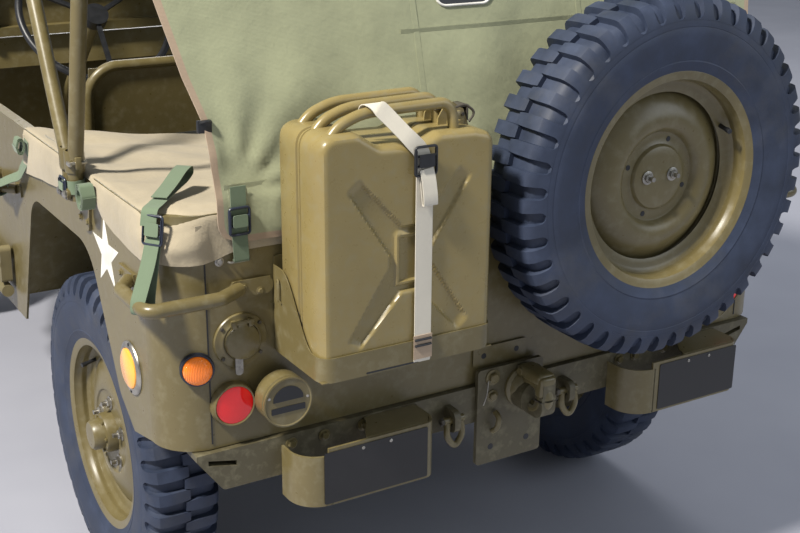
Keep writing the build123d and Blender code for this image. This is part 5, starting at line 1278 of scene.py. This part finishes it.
# Rear curtain
curtainLook = {
    # Path rows are run, y and z down the middle; half rows are z and half width
    "path": [(0.0, 1.3021, 1.755), (0.069, 1.3021, 1.686), (0.7365, 1.4775, 1.042),
             (0.8155, 1.4775, 0.963)],
    "half": [(0.963, 0.628), (1.06, 0.629), (1.172, 0.636), (1.25, 0.66), (1.686, 0.757),
             (1.76, 0.757)],
    "corner": 0.06, "lowCorner": 0.04, "topZ": 1.7555, "lowZ": 0.963, "thick": 0.0022,
    "cellsX": (140, 0.0095), "cellsZ": (96, 0.015), "seamRun": 0.7165, "flapZ": 1.062,
    # Tied corners that the folds run to, and the part behind the can that stays flat
    "tieX": 0.59, "tieZ": 1.05, "canFrom": 0.15, "canTo": 0.54, "canTop": 1.2, "canFold": 0.0055,
    # Window: middle, half sizes of the flat cloth round it, outline and lean of the cloth
    "windowX": 0.0755, "windowZ": 1.378, "windowHalf": (0.065, 0.045),
    "window": (0.012, 1.334, 0.139, 1.422, 0.022, 6), "down": (0.2628, 0.9649),
    "seamThick": 0.0007, "seamLift": 0.0013, "clipX": 0.634,
    # Folds as depth, stretch across and down, scale and seed
    "folds": [(0.01, 0.9, 0.4, 3.6, 3.1), (0.006, 1, 0.8, 9.5, 7.7)],
    # Folds that run to a tied corner: depth, count and reach; the loose flap: height, depth and ripple
    "rays": (0.006, 11, 0.17), "rayFade": (0.03, 0.09), "flap": (0.099, 0.011, 0.0022),
    "tieFade": (0.03, 0.1), "bandZ": 1.16, "bandDepth": 0.003,
}


def curtainPoint(u, v, lift=0.0):
    path, corner, lowCorner = curtainLook["path"], curtainLook["corner"], curtainLook["lowCorner"]
    along = v * path[-1][0]
    y = between([(row[0], row[1]) for row in path], along)
    z = between([(row[0], row[2]) for row in path], along)
    half = between(curtainLook["half"], z)
    top, low = curtainLook["topZ"] - corner, curtainLook["lowZ"] + lowCorner
    if z > top:
        half -= corner - math.sqrt(max(0.0, corner ** 2 - (z - top) ** 2))
    if z < low:
        half -= lowCorner - math.sqrt(max(0.0, lowCorner ** 2 - (low - z) ** 2))
    x = half * (1 - 2 * u)
    rest = smoothStep(1.69 - z, 0.0, 0.16)
    fold = sum(depth * wave((x * across, 0, z * down), scale, seed)
               for depth, across, down, scale, seed in curtainLook["folds"])
    tieX, flapZ, bandZ = curtainLook["tieX"], curtainLook["flapZ"], curtainLook["bandZ"]
    rayDepth, rayCount, rayReach = curtainLook["rays"]
    for side in (1, -1):
        dx, dz = side * (tieX - x * side), z - curtainLook["tieZ"]
        reach = math.hypot(dx, dz)
        ray = math.sin(math.atan2(dx * side, dz) * rayCount) * math.exp(-reach / rayReach)
        fold += rayDepth * ray * smoothStep(reach, *curtainLook["rayFade"])
    near = min(abs(x - tieX), abs(x + tieX))
    if z < flapZ:
        flapTall, flapDepth, flapRipple = curtainLook["flap"]
        share = (flapZ - z) / flapTall
        free = smoothStep(near, *curtainLook["tieFade"])
        belly = math.sin(math.pi * min(1.0, share)) * (0.6 + 0.4 * math.sin(x * 15 + 0.6))
        fold = max(0.0, (flapDepth * belly + flapRipple * math.sin(x * 31) * share) * free)
    elif z < bandZ:
        fold += curtainLook["bandDepth"] * smoothStep(bandZ - z, 0, 0.06)
        fold = max(0.0, fold) * smoothStep(near + (z - flapZ), *curtainLook["tieFade"])
    if curtainLook["canFrom"] < x < curtainLook["canTo"] and z < curtainLook["canTop"]:
        fold = min(fold, curtainLook["canFold"])
    halfX, halfZ = curtainLook["windowHalf"]
    fromWindow = math.hypot(max(0.0, abs(x - curtainLook["windowX"]) - halfX),
                            max(0.0, abs(z - curtainLook["windowZ"]) - halfZ))
    y += fold * rest * smoothStep(fromWindow, 0.01, 0.07) + lift
    return Vector((x, y, z + lift * 0.26))


def onCurtain(x, z, lift):
    along = 0.069 + (1.686 - z) / 0.644 * 0.6675
    return curtainPoint((1 - x / between(curtainLook["half"], z)) / 2, along / curtainRun, lift)


def addSeam(bm, points, sideDir, width):
    addStrip(bm, points, sideDir, width, curtainLook["seamThick"], 0.004, 0, 1)


def curtainMaterial(i, j):
    # The side hems and the lower hem are edging
    return 1 if i in (0, curtainLook["cellsX"][0] + 1) or j == curtainLook["cellsZ"][0] + 1 else 0


curtainRun = curtainLook["path"][-1][0]
sharesU, sharesV = evenShares(*curtainLook["cellsX"]), evenShares(*curtainLook["cellsZ"])
rows = [[curtainPoint(u, v) for u in sharesU] for v in sharesV]
curtain = clothSheet("rearCurtainSheet", rows, runUv(rows), curtainLook["thick"], clothMaterials,
                     ("rear_curtain",), curtainMaterial)
bm = bmesh.new()
seamV, lift = curtainLook["seamRun"] / curtainRun, curtainLook["seamLift"]
addSeam(bm, [curtainPoint(u / 80, seamV, lift) for u in range(1, 80)], zWay, 0.014)
for x in (0.19, -0.2):
    addSeam(bm, [onCurtain(x, 1.67 - 0.0105 * n, lift) for n in range(58)], xWay, 0.012)
addSeam(bm, [onCurtain(0.225 - 0.0155 * n, 1.292, lift) for n in range(56)], zWay, 0.012)
for side in (1, -1):
    line = [curtainPoint(0.5 - side * 0.5 * (0.59 / 0.629), seamV + down, 0.0018)
            for down in (0.002, 0.02, 0.04)]
    addStrip(bm, line, xWay, 0.034, 0.001, 0.004, 0, 1)
seams = finished("curtainSeams", bm, ["canvas"], "car", (), 60)
bm = bmesh.new()
outline = roundedRect(*curtainLook["window"])
windowX, windowZ = curtainLook["windowX"], curtainLook["windowZ"]
leanY, leanZ = curtainLook["down"]
# The window pane is black: painted shade of the dark inside seen through it
shadedPane = [(windowX - x, (z - windowZ) / leanZ) for x, z in outline[::-1]]
addPlate(bm, shadedPane, onCurtain(windowX, windowZ, 0.0006), (-1, 0, 0), (0, -leanY, leanZ), 0.0009, 0)
addTube(bm, [onCurtain(x, z, 0.002) for x, z in outline + outline[:2]], 0.0026, 0.004, 1, 8, 2)
finished("curtainWindow", bm, ["black", "white"], "car", (), 60)
bm = bmesh.new()
for side in (1, -1):
    x = side * curtainLook["clipX"]
    addBox(bm, (x - 0.013, 1.444, 1.158), (x + 0.013, 1.454, 1.18), 0, 0.002)
    wire = [(x - 0.012, 1.452, 1.176), (x - 0.002, 1.46, 1.18), (x + 0.01, 1.452, 1.176)]
    addTube(bm, wire, 0.0022, 0.008, 0, 8)
finished("curtainClips", bm, ["black"], "car")
print("roof and curtain done")

# Load cover
coverLook = {
    "half": 0.7395, "back": 1.4725, "front": 0.6612, "top": 1.0218, "thick": 0.0022,
    "corner": (0.652, 1.385), "cornerReach": 0.0875, "backRun": 1.304, "cells": (252, 0.0022),
    # Hem height along y on the sides, and at the back; sag of the front edge along x
    "hem": [(0.66, 0.92), (0.8, 0.936), (0.935, 0.947), (0.99, 0.962), (1.03, 1.0135),
            (1.14, 1.0135), (1.168, 0.976), (1.196, 0.957), (1.26, 0.941), (1.385, 0.933)],
    "backHem": 0.934, "backRise": 0.013, "wallRows": 8, "topRows": 44, "topPower": 1.25,
    "sag": [(0.0, 0.078), (0.338, 0.062), (0.449, 0.047), (0.567, 0.03), (0.658, 0.02),
            (0.705, 0.004), (0.735, 0.0)],
    # The strap ties the round corner at this angle, over this spread, in degrees
    "tieAngle": 36, "tieSpread": 9.0,
    # The sag fades from front to back; ripples as depth, stretch across, scale and seed
    "sagFade": (0.72, 1.4), "sagLoss": 0.93, "sagRim": 1.472,
    "ripples": [(0.008, 0.3, 15, 5), (0.009, 1, 6.5, 1)],
    # Side walls: flare at the hem and bulge as depth, ripple, scale and seed; radius of the top edge
    "flare": (0.006, 0.009, 13, 4), "bulge": (0.007, 0.01, 15, 6), "soft": (0.013, 0.018),
    "topWave": (0.003, 20, 8), "spineShare": 0.75,
}
cornerPlace, cornerReach = Vector(coverLook["corner"]), coverLook["cornerReach"]
sideRun = cornerPlace.y - coverLook["front"]
arcRun = cornerReach * math.pi / 2
coverRun = 2 * (sideRun + arcRun) + coverLook["backRun"]


def coverRim(along):
    # Point, outward direction and corner share on the rim at this run from the left front corner
    if along > coverRun / 2:
        point, out, turn = coverRim(coverRun - along)
        return Vector((-point.x, point.y)), Vector((-out.x, out.y)), turn
    if along < sideRun:
        return Vector((coverLook["half"], coverLook["front"] + along)), Vector((1, 0)), 0.0
    if along < sideRun + arcRun:
        turn = (along - sideRun) / cornerReach
        out = Vector((math.cos(turn), math.sin(turn)))
        return cornerPlace + out * cornerReach, out, math.sin(2 * turn)
    return Vector((cornerPlace.x - (along - sideRun - arcRun), coverLook["back"])), Vector((0, 1)), 0.0


def coverSag(x, y):
    front = 1 - coverLook["sagLoss"] * smoothStep(y, *coverLook["sagFade"])
    fromBack = coverLook["sagRim"] - y
    sag = between(coverLook["sag"], abs(x)) * front * smoothStep(fromBack, 0.03, 0.16)
    ripple = sum(depth * wave((x * across, y, 0), scale, seed)
                 for depth, across, scale, seed in coverLook["ripples"])
    return sag - ripple * smoothStep(0.735 - abs(x), 0.0, 0.06) * smoothStep(fromBack, 0.02, 0.08)


def coverHem(rim, onBack, corner):
    if onBack:
        inward = smoothStep(cornerPlace.x - abs(rim.x), 0.0, 0.06)
        return coverLook["backHem"] + coverLook["backRise"] * inward
    return coverLook["backHem"] if corner else between(coverLook["hem"], rim.y)


def coverColumn(along):
    rim, out, corner = coverRim(along)
    onBack = out.y > 0.999
    hem = coverHem(rim, onBack, corner)
    angle = math.degrees(math.atan2(out.y, abs(out.x)))
    tied = math.exp(-((angle - coverLook["tieAngle"]) / coverLook["tieSpread"]) ** 2) if corner else 0.0
    rim3 = Vector((rim.x, rim.y, 0))
    wide = 0.0 if onBack else min(1.0, 0.35 + corner)
    depth, uneven, scale, seed = coverLook["flare"]
    flare = (depth + uneven * wave(rim3, scale, seed)) * wide * (1 - tied)
    soft = min(coverLook["soft"][0] + coverLook["soft"][1] * corner, coverLook["top"] - hem - 0.001)
    depth, scale, seed = coverLook["topWave"]
    top = coverLook["top"] + depth * corner * (1 - tied) * wave(rim3, scale, seed)
    depth, uneven, scale, seed = coverLook["bulge"]
    points = []
    for n in range(coverLook["wallRows"] + 1):
        h = n / coverLook["wallRows"]
        z = hem + (top - soft - hem) * h
        ripple = uneven * wide * wave((rim.x, rim.y, z * 1.6), scale, seed)
        bulge = (depth * wide * (1 - 0.8 * tied) + ripple) * math.sin(math.pi * h)
        push = max(0.0, max(0.0, flare) * (1 - h) + bulge) * min(1.0, (top - hem) / 0.05)
        points.append((rim + out * push).to_3d() + Vector((0, 0, z)))
    for turn in (math.radians(30), math.radians(60)):
        spot = rim - out * soft * (1 - math.cos(turn))
        points.append(Vector((spot.x, spot.y, top - soft + soft * math.sin(turn))))
    wallCount = len(points)
    rimRun = min(rim.y, cornerPlace.y) - coverLook["front"]
    spine = Vector((0.0, coverLook["front"] + rimRun * coverLook["spineShare"]))
    start = rim - out * soft
    for n in range(coverLook["topRows"] + 1):
        spot = start + (spine - start) * (n / coverLook["topRows"]) ** coverLook["topPower"]
        points.append(Vector((spot.x, spot.y, top - coverSag(spot.x, spot.y))))
    flatPlace = [tuple(rim + out * max(0.0, top - point.z)) for point in points[:wallCount]]
    flatPlace += [(point.x, point.y) for point in points[wallCount:]]
    return points, flatPlace


columns = [coverColumn(coverRun * share) for share in evenShares(*coverLook["cells"])]
rows = [[column[0][n] for column in columns] for n in range(len(columns[0][0]))]
uvRows = [[column[1][n] for column in columns] for n in range(len(rows))]
cover = clothSheet("loadCover", rows, uvRows, coverLook["thick"], ["cover"],
                   ("cargo_cover",))
bm = bmesh.new()
for side in (1, -1):
    line = [(side * 0.664, 1.4743, 1.004), (side * 0.663, 1.4743, 0.975), (side * 0.662, 1.4743, 0.95)]
    addStrip(bm, line, xWay, 0.011, 0.0012, 0.004, 0, 2)
    line = [(side * 0.7412, 0.668, 1.008), (side * 0.7412, 0.667, 0.97), (side * 0.7412, 0.667, 0.926)]
    addStrip(bm, line, yWay, 0.012, 0.0012, 0.004, 0, 2)
coverSeams = finished("coverSeams", bm, ["cover"], "car", (), 60)
print("cover done")

# Straps; each row of a path is a point along the web's middle
strapLook = {
    # Wire loop under the curtain strap, and the bolt beside it, from the middle of the strap
    "loop": [(-0.02, 1.473, 0.929), (-0.018, 1.4775, 0.929), (0.018, 1.4775, 0.929), (0.02, 1.473, 0.929)],
    "loopBolt": (0.036, 1.4704, 0.932),
    "width": 0.029, "thick": 0.0015, "rollThick": 0.0012, "bowWidth": 0.026, "steps": 5,
    # Corner strap: run outward from the round corner's axis, and height
    "cornerTurn": 36, "cornerAt": (0.652, 1.385), "cornerTilt": -0.18,
    "corner": [(0.0985, 0.992), (0.12, 0.945), (0.1595, 0.884), (0.1595, 0.864), (0.144, 0.859),
               (0.129, 0.866), (0.127, 0.886), (0.1025, 0.968), (0.0985, 0.984)],
    # Loose tail on the cover: run inward from its start, and height
    "tailAt": (0.738, 1.438), "tailWay": (-0.68, -0.73),
    "tail": [(-0.003, 1.006), (0.006, 1.034), (0.03, 1.0345), (0.09, 1.041), (0.155, 1.046),
             (0.182, 1.054), (0.178, 1.068), (0.15, 1.066), (0.098, 1.051), (0.05, 1.042)],
    # Paths of the left side; x is mirrored for the right side
    "curtain": [(0.59, 1.4803, 1.066), (0.59, 1.4806, 1.03), (0.59, 1.4806, 0.99),
                (0.588, 1.48, 0.952), (0.587, 1.48, 0.93), (0.587, 1.4765, 0.926),
                (0.587, 1.4745, 0.934)],
    "front": [(0.7428, 0.69, 1.0), (0.7428, 0.682, 0.955), (0.75, 0.63, 0.908),
              (0.776, 0.56, 0.878), (0.7895, 0.54, 0.866), (0.788, 0.536, 0.848),
              (0.7745, 0.534, 0.8425), (0.7605, 0.536, 0.85), (0.759, 0.545, 0.872)],
    "bow": [(0.743, 1.062, 1.0), (0.743, 1.108, 1.0), (0.749, 1.12, 1.0),
            (0.768, 1.12, 0.999), (0.7765, 1.108, 0.998), (0.7765, 1.062, 0.997),
            (0.768, 1.05, 0.998), (0.75, 1.05, 0.999), (0.7446, 1.056, 1.0)],
    "rollTurn": 1.05,
}
canStraps = [
    # Name, width, material, bend, hold, thickness and path
    ("canStrap", 0.034, "whiteWeb", 0.006, "stretched", 0.0015,
     [(0.323, 1.6588, 1.108), (0.323, 1.6588, 0.9), (0.323, 1.659, 0.79), (0.323, 1.659, 0.756),
      (0.323, 1.656, 0.7445), (0.323, 1.642, 0.7425)]),
    ("canStrapTab", 0.038, "edging", 0.004, "stretched", 0.0012,
     [(0.323, 1.6604, 0.8), (0.323, 1.6606, 0.78), (0.323, 1.6606, 0.755)]),
    ("canStrapTop", 0.03, "whiteWeb", 0.012, "stretched", 0.0015,
     [(0.408, 1.6, 1.19), (0.408, 1.612, 1.2165), (0.404, 1.634, 1.2165), (0.384, 1.64, 1.196),
      (0.352, 1.657, 1.158), (0.33, 1.6595, 1.135), (0.324, 1.66, 1.112)]),
    ("canStrapTail", 0.028, "whiteWeb", 0.008, "hung", 0.0015,
     [(0.322, 1.6625, 1.104), (0.319, 1.6665, 1.085), (0.317, 1.67, 1.055), (0.316, 1.669, 1.04),
      (0.316, 1.664, 1.04), (0.318, 1.6625, 1.062), (0.32, 1.662, 1.088)]),
]
webSizes = {}


def addBuckle(bm, center, uDir, vDir, width, height, mats):
    # Square wire frame, a cam bar with its lever plate, and the fold of web under it
    c, u, v = Vector(center), Vector(uDir).normalized(), Vector(vDir).normalized()
    n = u.cross(v)
    w, h = width / 2, height / 2
    corners = ((w, 0), (w, h), (-w, h), (-w, -h), (w, -h), (w, 0))
    addTube(bm, [c + u * a + v * b for a, b in corners], 0.0024, 0.006, mats[0], 10)
    for way in (1, -1):
        bar = c + v * h * 0.36 * way
        addRod(bm, bar - u * w, bar + u * w, 0.0022, mats[0], 12)
        cheek = c + u * way * (w - 0.001)
        corners = ((-0.8, -0.003), (-0.8, 0.004), (0.8, 0.004), (0.8, -0.003))
        rings = [[bm.verts.new(cheek + v * h * up + n * out + u * across) for up, out in corners]
                 for across in (-0.0008, 0.0008)]
        joinRings(bm, rings, mats[0], caps=(True, True))
    plate = roundedRect(-w * 0.72, -h * 0.42, w * 0.72, h * 0.5, 0.003, 3)
    addPlate(bm, plate, c + n * 0.0035, u, v, 0.0016, mats[1])


def webStrap(name, points, sideDir, bend=0.014, replaced=(), material="web",
             width=strapLook["width"], thickness=strapLook["thick"]):
    bm = bmesh.new()
    length = addStrip(bm, points, sideDir, width, thickness, bend, 0, strapLook["steps"])
    piece = finished(name, bm, [material], "car", replaced, 60)
    webSizes[name] = (width, round(length, 3))


def mirrored(path, side):
    return [(side * x, y, z) for x, y, z in path]


def cornerStraps(side, word):
    turn = math.radians(strapLook["cornerTurn"])
    out = Vector((side * math.cos(turn), math.sin(turn), 0))
    across = Vector((-out.y, out.x, 0)) * side
    x, y = strapLook["cornerAt"]
    corner = Vector((side * x, y, 0))
    path = [corner + out * run + Vector((0, 0, z)) for run, z in strapLook["corner"]]
    replaced = ("web_straps",) if side > 0 else ()
    webStrap("cornerStrap" + word, path, across, replaced=replaced)
    x, y = strapLook["tailWay"]
    inward = Vector((side * x, y, 0)).normalized()
    x, y = strapLook["tailAt"]
    start = Vector((side * x, y, 0))
    path = [start + inward * run + Vector((0, 0, z)) for run, z in strapLook["tail"]]
    tailSide = Vector((inward.y, -inward.x, 0))
    webStrap("cornerTail" + word, path, tailSide, 0.016)
    tilt = (out * strapLook["cornerTilt"] + Vector(zWay)).normalized()
    spot = corner + out * 0.1015 + Vector((0, 0, 0.999))
    addBuckle(buckles, spot, across * side, tilt, 0.038, 0.05, (0, 1))


def curtainStraps(side, word):
    x = side * 0.59
    path = mirrored(strapLook["curtain"], side)
    webStrap("curtainStrap" + word, path, xWay, 0.008)
    addBuckle(buckles, (x, 1.4838, 1.004), (-1, 0, 0), zWay, 0.038, 0.048, (0, 1))
    addTube(buckles, [(x + dx, y, z) for dx, y, z in strapLook["loop"]], 0.0022, 0.004, 2, 8)
    dx, y, z = strapLook["loopBolt"]
    addBolt(buckles, (x + side * dx, y, z), yWay, 0.006, 2)


def sideStraps(side, word):
    webStrap("frontStrap" + word, mirrored(strapLook["front"], side), yWay)
    step, thick = strapLook["rollTurn"], strapLook["rollThick"]
    roll = []
    for n in range(19):
        turn = n * step
        roll.append((side * (0.758 + (0.006 + 0.0016 * n / 6) * math.cos(turn)),
                     0.686 + 0.002 * math.sin(n), 0.99 + (0.013 + 0.0032 * n / 6) * math.sin(turn)))
    webStrap("frontRoll" + word, roll, yWay, 0.006, thickness=thick)
    wide = strapLook["bowWidth"]
    path = mirrored(strapLook["bow"], side)
    webStrap("bowStrap" + word, path, zWay, bend=0.008, width=wide)
    roll = []
    for n in range(25):
        turn = n * step
        roll.append((side * 0.76, 1.158 + (0.013 + 0.003 * n / 6) * math.cos(turn),
                     0.992 + (0.015 + 0.0036 * n / 6) * math.sin(turn)))
    webStrap("bowRoll" + word, roll, xWay, 0.006, width=wide, thickness=thick)
    addBuckle(buckles, (side * 0.78, 1.085, 0.997), (0, side, 0), zWay, 0.036, 0.034, (0, 1))


buckles = bmesh.new()
for side, word in ((1, "Left"), (-1, "Right")):
    cornerStraps(side, word)
    curtainStraps(side, word)
    sideStraps(side, word)
for name, width, material, bend, held, thickness, path in canStraps:
    webStrap(name, path, xWay, bend, (), material, width, thickness)
for z in (0.792, 0.781):
    addRod(buckles, (0.306, 1.6622, z), (0.34, 1.6622, z), 0.0022, 3, 10)
addBuckle(buckles, (0.323, 1.6625, 1.118), (-1, 0, 0), zWay, 0.042, 0.05, (3, 3))
finished("strapBuckles", buckles, ["buckle", "web", "brightSteel", "black"], "car")
print("straps", webSizes)

# Seat cushions
seatLook = {
    "x": 0.315, "cuts": 23, "pinch": 0.035, "low": 0.94, "flat": 0.78, "crown": 0.3, "fill": 0.7,
    # Powers of the rounded block along its own axes, and the root that is taken of their sum
    "powers": (7, 7, 4), "root": 6.0, "channelDeep": 0.06, "channelWide": 0.12,
    # Name, y and z of the middle, half sizes and own axes
    "pads": [("SeatPad", (0.195, 0.847), (0.172, 0.146, 0.041), (xWay, yWay, zWay)),
             ("BackPad", (0.3738, 0.99), (0.164, 0.068, 0.0285),
              (xWay, (0, 0.132, 0.991), (0, -0.991, 0.132)))],
}


def pillow(name, center, halves, ownAxes, body, replaced):
    # Closed crowned form with pulled-in sides between its corners and pressed channels on top
    c = Vector(center)
    a, b, n = (Vector(v).normalized() for v in ownAxes)
    bm = bmesh.new()
    bmesh.ops.create_cube(bm, size=2.0)
    bmesh.ops.subdivide_edges(bm, edges=bm.edges[:], cuts=seatLook["cuts"], use_grid_fill=True)
    uv = bm.loops.layers.uv.verify()
    for vert in bm.verts:
        p = vert.co.copy()
        total = sum(abs(value) ** power for value, power in zip(p, seatLook["powers"]))
        q = p / max(total ** (1 / seatLook["root"]), 1e-6)
        q.x *= 1 - seatLook["pinch"] * (1 - q.y ** 2)
        q.y *= 1 - seatLook["pinch"] * (1 - q.x ** 2)
        high = q.z * seatLook["low"]
        channel = 0.0
        if q.z > 0:
            high = q.z * (seatLook["flat"] + seatLook["crown"] * (1 - q.x ** 2) * (1 - q.y ** 2))
            if abs(q.x) < 0.9:
                ridge = math.sin(math.pi * (q.x * 2 + 0.5)) / seatLook["channelWide"]
                channel = seatLook["channelDeep"] * math.exp(-ridge ** 2)
        high -= channel * smoothStep(1 - abs(q.y), 0.05, 0.25)
        vert.co = c + a * q.x * halves[0] + b * q.y * halves[1] + n * high * halves[2]
    for face in bm.faces:
        for loop in face.loops:
            d = loop.vert.co - c
            loop[uv].uv = (d.dot(a) + d.dot(n) * 0.5, d.dot(b) + d.dot(n) * 0.5)
    piece = finished(name, bm, ["seat"], body, replaced, 60)


for side, word, body in ((1, "driver", "car"), (-1, "passenger", "passenger_seat")):
    for pad, spot, halves, ownAxes in seatLook["pads"]:
        replaced = (word + "_cushions",) if pad == "SeatPad" else ()
        pillow(word + pad, (side * seatLook["x"], *spot), halves, ownAxes, body, replaced)
print("soft pieces done")

# Front lamps and wipers
frontLook = {
    "x": 0.318, "y": -1.3935, "headZ": 0.838, "markerZ": 0.69, "screwAt": (0.318, -1.4058, 0.7595),
    # Profile, material and segments of the headlamp and of the marker lamp
    "head": [([(-20, 84), (6.5, 84.5), (10.5, 82.5), (12.5, 78), (11.5, 73.5), (6.5, 72.5)], 0, 64),
             ([(6.6, 0), (6.6, 72.8), (7.2, 72.8), (7.2, 0)], 1, 64),
             ([(8, 72.8), (12, 70), (16.5, 60), (20, 40), (21.5, 20), (22, 0)], 2, 64)],
    "marker": [([(-4, 27.2), (8.5, 27.5), (11.5, 26.2), (12.5, 23.5), (9, 22.5)], 0, 40),
               ([(8.2, 22.6), (12, 20.5), (15, 14), (16, 0)], 3, 40)],
}
wiperLook = {"x": 0.29, "top": 1.716, "low": 1.48, "lean": 0.1405, "footZ": 1.226, "footY": -0.2941,
             "armTop": 1.62, "armLow": 1.35, "motorY": -0.205}


def onScreen(x, z, lift=0.0):
    # Point just ahead of the leaning windscreen
    return (x, wiperLook["footY"] + lift + (z - wiperLook["footZ"]) * wiperLook["lean"], z)


bm = bmesh.new()
for side in (1, -1):
    for part, z in (("head", frontLook["headZ"]), ("marker", frontLook["markerZ"])):
        for rows, mat, segments in frontLook[part]:
            addTurned(bm, rows, (side * frontLook["x"], frontLook["y"], z), (0, -1, 0), mat, segments)
    x, y, z = frontLook["screwAt"]
    addScrew(bm, (side * x, y, z), (0, -1, 0), 0.0036, 1)
    x, top = side * wiperLook["x"], wiperLook["top"]
    addRod(bm, onScreen(x, top), onScreen(x - side * 0.04, wiperLook["low"]), 0.0028, 4, 10)
    arm = [onScreen(x - side * 0.025, wiperLook["armTop"], 0.003),
           onScreen(x - side * 0.055, wiperLook["armLow"], 0.003)]
    addTube(bm, arm, 0.0036, 0.01, 4, 8)
    addRod(bm, onScreen(x, top, -0.002), (x, wiperLook["motorY"], top), 0.0085, 0, 16)
frontMaterials = ["olive", "chrome", "lampGlass", "orangeLens", "black"]
finished("frontLampSet", bm, frontMaterials, "car", (), 32)
print("front pieces done")
